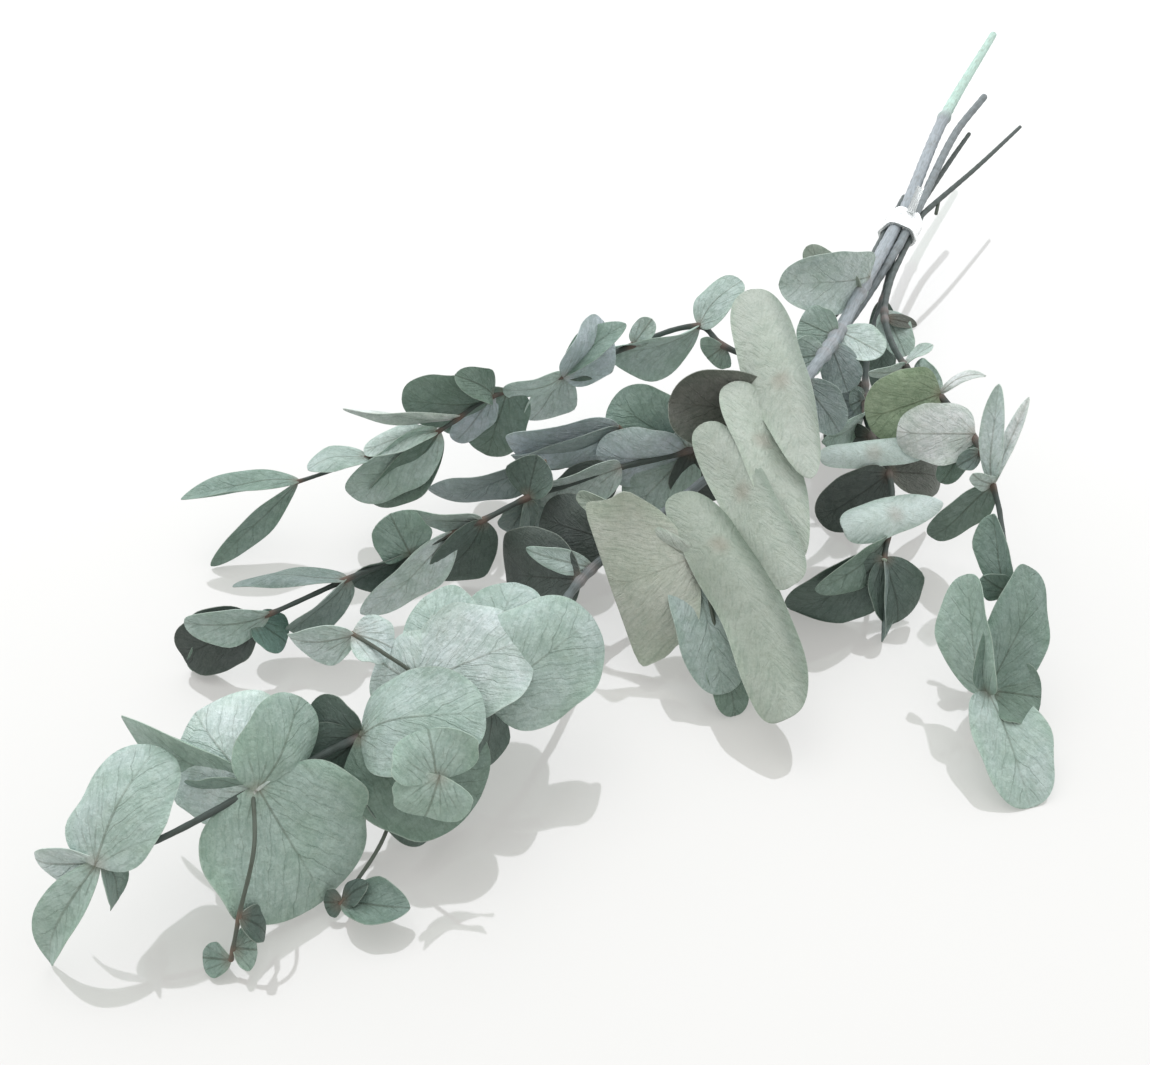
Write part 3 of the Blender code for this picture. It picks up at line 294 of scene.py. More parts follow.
for rows in branches.values():
    rows["leaves"] = [leafRow(*row) for row in rows["leaves"]]

tones = {  # as they look on the screen, 0 to 255: each is partly the leaf's own colour and partly painted light and shade; night is mostly painted shade inside the bunch
    "faint": (228, 232, 231),
    "mist": (206, 219, 217),
    "pale": (192, 206, 202),
    "lavender": (188, 199, 206),
    "cream": (182, 190, 180),
    "stone": (167, 176, 164),
    "fog": (164, 180, 176),
    "beige": (178, 182, 170),
    "sage": (176, 194, 188),
    "jade": (158, 180, 169),
    "green": (126, 149, 139),
    "teal": (100, 134, 125),
    "olive": (138, 156, 124),
    "moss": (106, 128, 116),
    "steel": (150, 163, 165),
    "slate": (126, 142, 139),
    "umber": (88, 88, 80),
    "dark": (72, 92, 84),
    "night": (46, 56, 52),
}

tie = {
    "seenAt": (901, 226, 38),
    "bearing": 65.0,  # the way its stems run towards their cut ends, degrees from +X
    "width": 14.0,
    "gap": 0.3,
    "thickness": 1.1,
    "sides": 120,
    "steps": 15,
    "waist": 0.25,  # how far the film draws in at the middle of its width
    "folds": ((3, 0.9, 0, 0.16), (7, -1.7, 0, 0.09)),  # creases: number round the tie, slant, 0, depth
    "innerGap": 0.35,
    "straight": 12.0,  # the stems run straight this far to each side of the tie's middle
    "lead": 5.0,
    "stub": 27.0,  # a stem whose cut end isn't seen ends here
    "looseEnd": (15.0, 3.6, 0.5),  # length, width and thickness of the free end
    "looseGrid": (18, 11),
    "looseRise": 18.0,
    "looseAside": 2.2,
    "looseSeat": (0.6, 3.0),  # how far its start is sunk below the tie's top, and in from the tie's rim
    "sharpAngle": 40.0,
    "colour": (0.70, 0.72, 0.715),
    "foldColour": (0.52, 0.56, 0.55),
}

slots = {  # each stem's place in the tie: sideways, up and its radius
    "branch_centre": (-1.6, 1.2, 2.8),
    "branch_front_left": (3.4, 0.9, 1.9),
    "branch_upper_left": (-5.2, -1.6, 1.4),
    "branch_low_left": (-1.2, -3.6, 1.4),
    "branch_right": (2.2, -2.8, 1.3),
    "branch_far_right": (5.6, -2.0, 1.3),
}


eyePlace = np.array([-picture["bunchCentre"][0], -picture["bunchCentre"][1], picture["eyeHeight"]])


def placeSeen(across, down, height):
    # the ray through that picture point meets the level of that height
    tilt = math.radians(picture["eyeTilt"])
    right = (across - picture["middle"][0]) / picture["focalPixels"]
    fall = (down - picture["middle"][1]) / picture["focalPixels"]
    depth = (picture["eyeHeight"] - height) / (math.sin(tilt) + fall * math.cos(tilt))
    away = depth * (math.cos(tilt) - fall * math.sin(tilt))
    return np.array([eyePlace[0] + right * depth, eyePlace[1] + away, height])


def unit(vector):
    return vector / np.maximum(np.linalg.norm(vector, axis=-1, keepdims=True), 1e-12)


def tieAxes():
    bearing = math.radians(tie["bearing"])
    along = np.array([math.cos(bearing), math.sin(bearing), 0.0])
    return placeSeen(*tie["seenAt"]), along, np.array([along[1], -along[0], 0.0])


def placesSeen(spots):
    return [placeSeen(*spot[:3]) for spot in spots], [spot[3] for spot in spots]


def stemPoints(branch):
    # cut end, straight through the tie, then the stem's own spots
    rows = branches[branch]
    middle, along, sideways = tieAxes()
    aside, up, radius = slots[branch]
    centre = middle + sideways * aside + np.array([0.0, 0.0, up])
    points, radii = placesSeen(rows["cutEnd"])
    outer = tie["straight"] + tie["lead"]
    for step in (outer if points else tie["stub"], tie["straight"], -tie["straight"], -outer):
        points.append(centre + along * step)
        radii.append(radius)
    before = len(points)
    places, sizes = placesSeen(rows["stem"])
    return np.array(points + places), np.array(radii + sizes), before


def smoothRoute(points, stations):
    # curve through the points: each stretch is a cubic whose end slopes follow the chords past its ends
    stations = np.atleast_1d(np.asarray(stations, float))
    last = len(points) - 1
    k = np.clip(np.floor(stations).astype(int), 0, last - 1)
    t = (stations - k)[:, None]
    padded = np.vstack([2 * points[0] - points[1], points, 2 * points[-1] - points[-2]])
    p0, p1, p2, p3 = padded[k], padded[k + 1], padded[k + 2], padded[k + 3]
    reach = np.linalg.norm(p2 - p1, axis=1, keepdims=True)
    m1 = unit(p2 - p0) * reach
    m2 = unit(p3 - p1) * reach
    place = (2 * t**3 - 3 * t**2 + 1) * p1 + (t**3 - 2 * t**2 + t) * m1
    place = place + (3 * t**2 - 2 * t**3) * p2 + (t**3 - t**2) * m2
    course = (6 * t**2 - 6 * t) * p1 + (3 * t**2 - 4 * t + 1) * m1
    course = course + (6 * t - 6 * t**2) * p2 + (3 * t**2 - 2 * t) * m2
    return place, unit(course)


def branchRoutes(branch):
    points, radii, before = stemPoints(branch)
    routes = {"stem": (points, radii, before)}
    for name, (station, spots) in branches[branch]["twigs"].items():
        start = smoothRoute(points, station + before)[0][0]
        places, sizes = placesSeen(spots)
        routes[name] = (np.array([start] + places), np.array(sizes[:1] + sizes), 0)
    return routes


# Camera
def makeCamera():
    data = bpy.data.cameras.new("camera")
    data.sensor_width = picture["sensorWidth"]
    data.lens = picture["sensorWidth"] * picture["focalPixels"] / picture["width"]
    data.clip_start = 0.01
    data.dof.use_dof = False
    camera = bpy.data.objects.new("camera", data)
    camera.location = eyePlace / 1000
    camera.rotation_euler = (math.radians(90.0 - picture["eyeTilt"]), 0.0, 0.0)
    bpy.context.collection.objects.link(camera)
    bpy.context.scene.camera = camera


makeCamera()
print("scene: camera")


# Mesh building
sharpAngle = 50.0  # degrees between faces past which an edge of a leaf or stem is sharp


def gridFaces(rows, columns, start, flip):
    # quads between neighbouring points of a grid, turned over where flip is set
    index = start + np.arange(rows * columns).reshape(rows, columns)
    a, b = index[:-1, :-1].ravel(), index[:-1, 1:].ravel()
    c, d = index[1:, 1:].ravel(), index[1:, :-1].ravel()
    return np.stack([a, d, c, b], axis=1) if flip else np.stack([a, b, c, d], axis=1)


def stripFaces(outer, inner):
    # quads between two closed loops of points
    return np.stack([outer, np.roll(outer, -1), np.roll(inner, -1), inner], axis=1)


def bladeOf(surface, shift):
    # both faces of a thin blade, the surface plus and minus the shift, joined round the rim
    rows, columns = surface.shape[:2]
    count = rows * columns
    points = np.concatenate([(surface + shift).reshape(-1, 3), (surface - shift).reshape(-1, 3)])
    index = np.arange(count).reshape(rows, columns)
    rim = np.concatenate([index[0, :-1], index[:-1, -1], index[-1, :0:-1], index[:0:-1, 0]])
    faces = [gridFaces(rows, columns, 0, True), gridFaces(rows, columns, count, False)]
    return points, np.concatenate(faces + [stripFaces(rim, rim + count)[:, ::-1]])


def newPiece(name, points, quads, attributes, sharpFrom):
    mesh = bpy.data.meshes.new(name)
    mesh.vertices.add(len(points))
    mesh.vertices.foreach_set("co", (points / 1000.0).astype(np.float32).ravel())
    mesh.loops.add(quads.size)
    mesh.loops.foreach_set("vertex_index", quads.astype(np.int32).ravel())
    mesh.polygons.add(len(quads))
    mesh.polygons.foreach_set("loop_start", np.arange(0, quads.size, 4, dtype=np.int32))
    mesh.polygons.foreach_set("use_smooth", np.ones(len(quads), dtype=bool))
    mesh.update(calc_edges=True)
    mesh.validate()
    for key, (kind, values) in attributes.items():
        layer = mesh.attributes.new(key, kind, "POINT")
        field = "color" if kind == "FLOAT_COLOR" else "vector"
        layer.data.foreach_set(field, values.astype(np.float32).ravel())
    mesh.set_sharp_from_angle(angle=math.radians(sharpFrom))
    piece = bpy.data.objects.new(name, mesh)
    bpy.context.collection.objects.link(piece)
    return piece


def waves(rows, along, across, phase):
    # sum of depth * sin(a * along + b * across + c * phase) over rows of a, b, c and depth
    return sum(depth * np.sin(a * along + b * across + c * phase) for a, b, c, depth in rows)


def linear(screen):
    # what the screen shows, 0 to 255, as amounts of light
    share = np.asarray(screen, float) / 255.0
    return np.where(share <= 0.04045, share / 12.92, ((share + 0.055) / 1.055) ** 2.4)


# Leaves
leafLook = {
    "baseShare": 0.10,  # width where it clasps the stem, as a share of its full width
    "tipShare": 0.02,
    "baseStep": 0.3,  # blades that grow from one place on a stem start this far apart
    "thickness": 0.5,
    "rimThickness": 0.2,
    "warp": 0.050,  # slow bending of the blade, as a share of its length
    "ripple": 0.12,  # waves along the edge, as a share of its width
    "warpWaves": ((2.6, 1.8, 1.0, 0.7), (5.5, -2.2, 1.7, 0.3)),
    "cupPower": 1.6,  # how late towards the edge the blade starts to rise or fall
    "curl": 0.16,  # how far one edge rolls over, as a share of its width
    "curlFrom": 0.35,  # where the roll starts, 0 at the midrib and 1 at the edge
    "curlOther": 0.25,  # how much of the roll the other edge has
    "twist": 9.0,  # degrees that the blade turns from base to tip
    "goldenAngle": 2.399963,  # radians between one leaf's waves and the next one's
    "crease": 0.22,  # depth of the groove along the midrib, in millimetres
    "creaseWidth": 0.8,
    "outline": 0.065,  # unevenness of the outline
    "outlineWaves": ((7, 0.9, 1, 0.6), (15, -1.0, 2, 0.4)),
    "alongGrid": (0.8, 18, 64),  # points along a blade for each millimetre, and the fewest and most
    "acrossGrid": (0.3, 5, 13),  # the same for each half of its width
    "underside": 0.18,  # how far the underside goes towards the tone below
    "undersideTone": (165, 172, 168),
    "shadeRange": 0.07,  # how much lighter or darker than its tone a leaf may be
    "clearance": 0.02,  # height over the table top that every point keeps
    "ribs": {"tongue": 0.10, "twin": 0.10, "fan": 0.45},  # how clearly the ribs of these outlines show
    "fall": {"tongue": -0.24, "twin": -0.24},  # how far the edges of these fall away, on top of their cup
}

# where the blade is widest, how blunt its base and its tip are,
# how many radii it is lifted off the stem, and how far behind that place it starts
forms = {
    "round": (0.46, 2.1, 2.4, 0.0, 0.0),
    "heart": (0.42, 2.9, 2.5, 1.35, 1.0),
    "strap": (0.55, 5.0, 2.9, 2.0, 3.5),
    "point": (0.44, 1.7, 1.75, 0.0, 0.0),
    "fan": (0.84, 2.0, 7.0, 1.35, 1.0),
    "tongue": (0.38, 3.0, 1.85, 0.0, 0.0),
    "twin": (0.58, 3.2, 3.2, 0.0, 0.0),
}


def leafBase(routes, leaf, order):
    points, radii, before = routes[leaf.route]
    base, course = smoothRoute(points, leaf.station + before)
    if leaf.far:
        return base[0]
    base, course = base[0] - course[0] * leafLook["baseStep"] * (1 + order % 4), course[0]
    radius = np.interp(leaf.station + before, np.arange(len(radii)), radii)
    toEye = unit(eyePlace - base)
    return base + unit(toEye - course * (toEye @ course)) * forms[leaf.form][3] * radius


def halfWidth(form, u):
    # a superellipse on each side of the widest place: (1 - |1 - u / peak|^blunt)^(1 / blunt)
    peak, baseBlunt, tipBlunt = forms[form][:3]
    rise = 1 - np.abs(1 - np.minimum(u / peak, 1.0)) ** baseBlunt
    fall = 1 - np.clip((u - peak) / (1 - peak), 0.0, 1.0) ** tipBlunt
    return rise ** (1 / baseBlunt) * fall ** (1 / tipBlunt)


def leafSurface(base, leaf, order, alongCount, acrossCount):
    # middle surface: base + run * u * length + face * (arch + cup + warp + curl) + side * half-width * v
    tip = placeSeen(leaf.across, leaf.down, leaf.height)
    start = placeSeen(*leaf.far) if leaf.far else base - unit(tip - base) * forms[leaf.form][4]
    run = unit(tip - start)
    length = np.linalg.norm(tip - start)
    met = (base - start) @ run / length if leaf.far else 0.0
    toEye = unit(eyePlace - (start + tip) / 2)
    face = unit(toEye - run * (toEye @ run))
    side = np.cross(face, run)
    u = (1 - np.cos(np.linspace(0, math.pi, alongCount)))[:, None] / 2
    v = np.sin(np.linspace(-math.pi / 2, math.pi / 2, acrossCount))[None, :]
    phase = order * leafLook["goldenAngle"]
    level = face * math.cos(math.radians(leaf.turn)) + side * math.sin(math.radians(leaf.turn))
    flat = np.cross(level, run)
    arch = (base - start) @ level / (4 * length * met * (1 - met)) if leaf.far else leaf.arch
    bend = (base - start) @ flat / (met * (1 - met)) if leaf.far else 0.0
    turn = np.radians(leaf.turn + leafLook["twist"] * math.sin(2.3 * phase) * (2 * u - 1))[..., None]
    face, side = face * np.cos(turn) + side * np.sin(turn), side * np.cos(turn) - face * np.sin(turn)
    share = leafLook["baseShare"] * (1 - u) ** 6 + leafLook["tipShare"] * u**10
    half = leaf.width / 2 * np.maximum(halfWidth(leaf.form, u), share)
    uneven = waves(leafLook["outlineWaves"], u, np.sign(v), phase)
    half = half * (1 + leafLook["outline"] * uneven * np.sin(math.pi * u))
    lift = 4 * arch * length * u * (1 - u)
    rise = (leaf.cup + leafLook["fall"].get(leaf.form, 0.0)) * half * np.abs(v) ** leafLook["cupPower"]
    warp = leafLook["warp"] * length * np.sin(math.pi * u) * waves(leafLook["warpWaves"], u, v, phase)
    ripple = leafLook["ripple"] * leaf.width / 2 * np.abs(v) ** 3 * np.sin(math.pi * u) ** 0.5
    ripple = ripple * np.sin(8 * u * (length / 40) ** 0.5 + phase + np.sign(v) * 1.3)
    oneSide = np.where(v * math.sin(3.1 * phase) > 0, 1.0, leafLook["curlOther"])
    rolled = np.clip(np.abs(v) - leafLook["curlFrom"], 0.0, 1.0) ** 2 * oneSide
    curl = -leafLook["curl"] * leaf.width * rolled * np.sin(math.pi * u) * math.cos(1.3 * phase)
    across = half * v
    crease = np.exp(-((across / leafLook["creaseWidth"]) ** 2)) * np.sin(math.pi * u) ** 0.4
    crease = -leafLook["crease"] * crease
    height = lift + rise + warp + ripple + curl + crease
    surface = start + run * (u * length * np.ones_like(v))[..., None]
    surface = surface + face * height[..., None] + side * across[..., None]
    surface = surface + flat * (bend * u * (1 - u))[..., None]
    fromStem = np.abs(u - met) * length * np.ones_like(v)
    place = np.stack([across, fromStem, np.abs(v) * np.ones_like(u)], axis=-1)
    return surface, place, np.abs(face[..., 2])


def leafBlock(base, leaf, order):
    # the blade, half its thickness to each side of its middle surface
    start = placeSeen(*leaf.far) if leaf.far else base
    length = np.linalg.norm(placeSeen(leaf.across, leaf.down, leaf.height) - start)
    dense, fewest, most = leafLook["alongGrid"]
    alongCount = int(np.clip(length * dense, fewest, most))
    dense, fewest, most = leafLook["acrossGrid"]
    acrossCount = 2 * int(np.clip(leaf.width * dense, fewest, most)) + 1
    surface, place, level = leafSurface(base, leaf, order, alongCount, acrossCount)
    lowest = leafLook["thickness"] / 2 * level + leafLook["clearance"]
    surface[..., 2] = np.maximum(surface[..., 2], lowest)
    normal = unit(np.cross(np.gradient(surface, axis=1), np.gradient(surface, axis=0)))
    edge, full = leafLook["rimThickness"], leafLook["thickness"]
    shift = normal * (edge + (full - edge) * (1 - place[..., 2:] ** 4)) / 2
    points, quads = bladeOf(surface, shift)
    points[:, 2] = np.maximum(points[:, 2], leafLook["clearance"])
    count = alongCount * acrossCount
    tone = linear(tones[leaf.tone])
    under = tone + (linear(leafLook["undersideTone"]) - tone) * leafLook["underside"]
    shade = 1 + leafLook["shadeRange"] * math.sin(order * 1.7)
    colours = np.concatenate([np.tile(tone * shade, (count, 1)), np.tile(under * shade, (count, 1))])
    ribbed = np.full((2 * count, 1), leafLook["ribs"].get(leaf.form, 1.0))
    colours = np.concatenate([colours, ribbed], axis=1)
    return points, quads, np.tile(place.reshape(-1, 3), (2, 1)), colours


def joinBlocks(name, blocks, placeName, toneName):
    # one piece of all the blocks: their points, quads, places and colours, one after another
    starts = np.cumsum([0] + [len(block[0]) for block in blocks[:-1]])
    points, places, colours = (np.concatenate([block[k] for block in blocks]) for k in (0, 2, 3))
    quads = np.concatenate([block[1] + start for block, start in zip(blocks, starts)])
    attributes = {placeName: ("FLOAT_VECTOR", places), toneName: ("FLOAT_COLOR", colours)}
    return newPiece(name, points, quads, attributes, sharpAngle)


def makeLeaves(branch, routes):
    leaves = enumerate(branches[branch]["leaves"])
    blocks = [leafBlock(leafBase(routes, leaf, order), leaf, order) for order, leaf in leaves]
    return joinBlocks(branch.replace("branch", "leaves"), blocks, "leafPlace", "leafTone")


# Stems
stemLook = {
    "step": 1.6,  # distance between rings
    "sides": 16,
    "nodeSwell": 0.30,  # thickening where leaves grow, as a share of the radius
    "nodeReach": 2.2,
    "wobble": ((0.9, 1, 0, 0.035), (2.3, 0, 0, 0.02)),  # uneven thickness
    "ridge": 0.05,  # depth of the ridges along the stem, as a share of its radius
    "ridges": 5,
    "stalkCut": 2.4,  # a stalk under a long blade ends this far short of it
    "thinRadius": 1.2,  # a stem of this radius has the thin tone, and one twice as thick the thick tone
    "capRings": ((0.93, 0.06), (0.5, 0.12), (0.02, 0.12)),  # size and height of a cap's rings, in radii
    "thick": (166, 174, 180),
    "thin": (74, 84, 80),
    "twig": (92, 100, 90),
    "node": (138, 104, 88),
    "nodeTint": (0.55, 0.7),  # how much of the node's tone a thin stem takes, and what a thick one loses
    "cut": (198, 214, 196),
    "fresh": (192, 220, 209),
    "freshUntil": {"branch_centre": 1.0},  # the station up to which a newly cut stem is still pale green
}


def stemBlock(branch, route, points, radii, before):
    # rings carried along the route without twisting: centre + radius * (cos a * across + sin a * upward)
    spans = np.linalg.norm(np.diff(points, axis=0), axis=1)
    knots = np.concatenate([[0.0], np.cumsum(spans)])
    count = max(8, int(knots[-1] / stemLook["step"]))
    cut = stemLook["stalkCut"] if route.endswith("Stalk") else 0.0
    reach = np.linspace(0.0, knots[-1] - cut, count)
    stations = np.interp(reach, knots, np.arange(len(points)))
    centres, courses = smoothRoute(points, stations)
    radius = np.interp(stations, np.arange(len(radii)), radii)
    nodes = {round(leaf.station + before, 2) for leaf in branches[branch]["leaves"] if leaf.route == route}
    freshUntil = stemLook["freshUntil"].get(branch) if route == "stem" else None
    if freshUntil:
        nodes.add(freshUntil)
    swell = np.zeros(count)
    for node in sorted(nodes):
        away = reach - np.interp(node, np.arange(len(points)), knots)
        swell = np.maximum(swell, np.exp(-((away / stemLook["nodeReach"]) ** 2)))
    inTie = (route == "stem") & (np.abs(stations - (before - 2.5)) < 0.6)
    wobble = waves(stemLook["wobble"], reach, len(points), 0)
    radius = radius * np.where(inTie, 1.0, 1 + stemLook["nodeSwell"] * swell + wobble)
    across = unit(np.cross(courses[0], [0.0, 0.0, 1.0]))
    ways = np.zeros((count, 3))
    for k in range(count):
        across = unit(across - courses[k] * (across @ courses[k]))
        ways[k] = across
    upward = np.cross(ways, courses)
    sides = stemLook["sides"]
    angles = np.arange(sides) * 2 * math.pi / sides
    ridge = 1 + stemLook["ridge"] * (0.5 * np.cos(stemLook["ridges"] * angles) - 0.5)
    around = np.cos(angles)[None, :, None] * ways[:, None, :]
    around = around + np.sin(angles)[None, :, None] * upward[:, None, :]
    rings = centres[:, None, :] + (radius[:, None] * ridge[None, :])[..., None] * around
    tubePoints = rings.reshape(-1, 3)
    index = np.arange(count * sides).reshape(count, sides)
    quads = [stripFaces(index[k], index[k + 1]) for k in range(count - 1)]
    total = count * sides
    capPoints, capQuads = [], []
    for end, outward in ((0, -1), (-1, 1)):  # domed caps of three smaller rings
        loop = index[end]
        for shrink, push in stemLook["capRings"]:
            ring = centres[end] + (tubePoints[index[end]] - centres[end]) * shrink
            capPoints.append(ring + courses[end] * outward * radius[end] * push)
            smaller = np.arange(sides) + total
            total += sides
            capQuads.append(stripFaces(loop, smaller)[:, ::outward])
            loop = smaller
    thin, thick = linear(stemLook["thin"]), linear(stemLook["thick"])
    share = np.clip(radius / stemLook["thinRadius"] - 1, 0, 1)[:, None]
    bark = thin + (thick - thin) * share
    if route != "stem":
        bark = np.tile(linear(stemLook["twig"]), (count, 1))
    strong, less = stemLook["nodeTint"]
    bark = bark + (linear(stemLook["node"]) - bark) * (strong * swell[:, None] * (1 - less * share))
    if freshUntil:
        fresh = np.clip((freshUntil - stations) * 8 + 0.4, 0, 1)[:, None]
        bark = bark + (linear(stemLook["fresh"]) - bark) * fresh
    capCount = len(capPoints) * sides
    cutTone = linear(stemLook["cut"]) if route == "stem" else bark[-1]
    colours = np.concatenate([np.repeat(bark, sides, axis=0), np.tile(cutTone, (capCount, 1))])
    colours = np.concatenate([colours, np.ones((len(colours), 1))], axis=1)
    place = np.stack([np.tile(angles, count), np.repeat(reach, sides), np.repeat(swell, sides)], axis=1)
    place = np.concatenate([place, np.zeros((capCount, 3))])
    return np.concatenate([tubePoints] + capPoints), np.concatenate(quads + capQuads), place, colours


def makeStems(branch, routes):
    blocks = [stemBlock(branch, route, *rows) for route, rows in routes.items()]
    return joinBlocks(branch.replace("branch", "stems"), blocks, "stemPlace", "stemTone")


# Tie
def tieLoop(gap, sides):
    # outline round all the stems: for each angle the furthest point of any stem circle, plus the gap
    circles = np.array(list(slots.values()))
    angles = np.arange(sides) * 2 * math.pi / sides
    ways = np.stack([np.cos(angles), np.sin(angles)], axis=1)
    reach = ways @ circles[:, :2].T + circles[:, 2]
    furthest = circles[np.argmax(reach, axis=1)]
    loop = furthest[:, :2] + ways * (furthest[:, 2:] + gap)
    return (loop + np.roll(loop, 1, axis=0) + np.roll(loop, -1, axis=0)) / 3, ways


def filmPiece(name, points, quads, place):
    # place: where each point lies on the film, alike for both of its faces
    attributes = {"filmPlace": ("FLOAT_VECTOR", np.tile(place, (2, 1)))}
    return newPiece(name, points, quads, attributes, tie["sharpAngle"])


def makeTie():
    # rings along the tie: outline plus small creases that run round it, closed at both rims
    middle, along, sideways = tieAxes()
    upward = np.array([0.0, 0.0, 1.0])
    sides, steps = tie["sides"], tie["steps"]
    reach = np.linspace(-tie["width"] / 2, tie["width"] / 2, steps)
    angles = np.arange(sides) * 2 * math.pi / sides
    shells = []
    relief = -tie["waist"] * np.cos(math.pi * reach / tie["width"])[:, None]
    relief = relief + waves(tie["folds"], angles[None, :], reach[:, None], 0)
    for gap, creased in ((tie["gap"] + tie["thickness"], 1.0), (tie["innerGap"], 0.0)):
        loop, ways = tieLoop(gap, sides)
        outline = loop[None] + ways[None] * (relief * creased)[..., None]
        shell = middle + outline[..., :1] * sideways + outline[..., 1:] * upward
        shells.append(shell + (along * reach[:, None])[:, None, :])
    points = np.concatenate([shell.reshape(-1, 3) for shell in shells])
    count = steps * sides
    index = np.arange(count).reshape(steps, sides)
    quads = [stripFaces(index[k], index[k + 1]) for k in range(steps - 1)]
    quads += [stripFaces(index[k] + count, index[k + 1] + count)[:, ::-1] for k in range(steps - 1)]
    quads += [stripFaces(index[-1], index[-1] + count), stripFaces(index[0], index[0] + count)[:, ::-1]]
    place = np.stack([np.tile(angles * 8, steps), np.repeat(reach, sides), np.zeros(count)], axis=1)
    return filmPiece("tieFilm", points, np.concatenate(quads), place)


def makeLooseEnd():
    # the film's free end: a thin strip that rises from the tie and curls a little
    middle, along, sideways = tieAxes()
    upward = np.array([0.0, 0.0, 1.0])
    length, width, thickness = tie["looseEnd"]
    top = tieLoop(tie["gap"] + tie["thickness"], tie["sides"])[0][:, 1].max()
    rise = math.radians(tie["looseRise"])
    lengthways = along * math.cos(rise) + upward * math.sin(rise)
    normal = upward * math.cos(rise) - along * math.sin(rise)
    start = middle + sideways * tie["looseAside"]
    sunk, inward = tie["looseSeat"]
    start = start + upward * (top - sunk) + along * (tie["width"] / 2 - inward)
    rows, columns = tie["looseGrid"]
    s = np.linspace(0, 1, rows)[:, None]
    t = np.linspace(-1, 1, columns)[None, :]
    lift = 0.30 * np.sin(3 * s + 1.5 * t) * s + 0.5 * s * t**2
    sheet = start + lengthways * (s * length * np.ones_like(t))[..., None]
    sheet = sheet + sideways * (t * width / 2 * (1 - 0.15 * s))[..., None] + normal * lift[..., None]
    points, quads = bladeOf(sheet, normal * thickness / 2)
    lengthways = (s * length * np.ones_like(t)).ravel()
    widthways = (t * width * np.ones_like(s)).ravel()
    place = np.stack([lengthways, widthways, np.zeros(rows * columns)], axis=1)
    return filmPiece("tieLooseEnd", points, quads, place)


# Shader building
def put(tree, kind, settings=None, inputs=None):
    # a new node; an input takes a number, or a link when it is given another node's output
    node = tree.nodes.new(kind)
    for key, value in (settings or {}).items():
        setattr(node, key, value)
    for key, value in (inputs or {}).items():
        if isinstance(value, bpy.types.NodeSocket):
            tree.links.new(value, node.inputs[key])
        else:
            node.inputs[key].default_value = value
    return node


def sums(tree, operation, first, second=0.0):
    return put(tree, "ShaderNodeMath", {"operation": operation}, {0: first, 1: second}).outputs[0]


def times(tree, first, second):
    return sums(tree, "MULTIPLY", first, second)


def ramp(tree, value, fromLow, fromHigh, toLow=0.0, toHigh=1.0):
    names = ("Value", "From Min", "From Max", "To Min", "To Max")
    inputs = dict(zip(names, (value, fromLow, fromHigh, toLow, toHigh)))
    return put(tree, "ShaderNodeMapRange", {"interpolation_type": "SMOOTHSTEP"}, inputs).outputs["Result"]


def blendColour(tree, mode, factor, first, second):
    inputs = {0: factor, 6: first, 7: second}  # the colour sockets of the Mix node
    return put(tree, "ShaderNodeMix", {"data_type": "RGBA", "blend_type": mode}, inputs).outputs[2]


def noise(tree, vector, scale, detail=2.0, roughness=0.5):
    inputs = {"Vector": vector, "Scale": scale, "Detail": detail, "Roughness": roughness}
    return put(tree, "ShaderNodeTexNoise", {}, inputs).outputs["Fac"]


def attributeOf(tree, name):
    return put(tree, "ShaderNodeAttribute", {"attribute_name": name})


def newGroup(name, inputs, outputs):
    tree = bpy.data.node_groups.new(name, "ShaderNodeTree")
    for key, kind in inputs:
        tree.interface.new_socket(name=key, in_out="INPUT", socket_type=kind)
    for key, kind in outputs:
        tree.interface.new_socket(name=key, in_out="OUTPUT", socket_type=kind)
    return tree, tree.nodes.new("NodeGroupInput"), tree.nodes.new("NodeGroupOutput")


leafFinish = {
    "roughness": 0.55,
    "specular": 0.30,
    "veinSpacing": 7.5,
    "veinSlant": 1.7,
    "veinWaver": 9.0,
    "veinDepth": 0.30,  # how much darker a vein is
    "fanAngles": (0.34, 0.78),  # bearings of the side ribs from the midrib, in radians
    "fanReach": 34.0,
    "stemReach": 5.0,  # how far the brown at the stem reaches into the blade
    "bumpStrength": 0.85,
    "bumpDepth": 0.0009,
    "tints": {
        "dull": (1.00, 1.05, 1.00),
        "bright": (1.24, 1.22, 1.25),
        # painted shade in the troughs of the leaf's wrinkles
        "wrinkleAndShade": (0.85, 0.88, 0.87),
        # painted shade along the crumple creases
        "foldShade": (0.86, 0.88, 0.87),
        "turnedSideShade": (0.68, 0.71, 0.70),  # painted shade on the side of a strap leaf that bends down
        "grain": (0.92, 0.93, 0.92),
        "speck": (0.72, 0.70, 0.62),
        "vein": (0.50, 0.52, 0.46),
        "rib": (0.52, 0.50, 0.46),
        "stem": (0.30, 0.22, 0.17),  # the brown where the leaf sits on its stem
        "edge": (0.92, 1.0, 0.92),
        "rim": (0.62, 0.68, 0.60),
    },
}


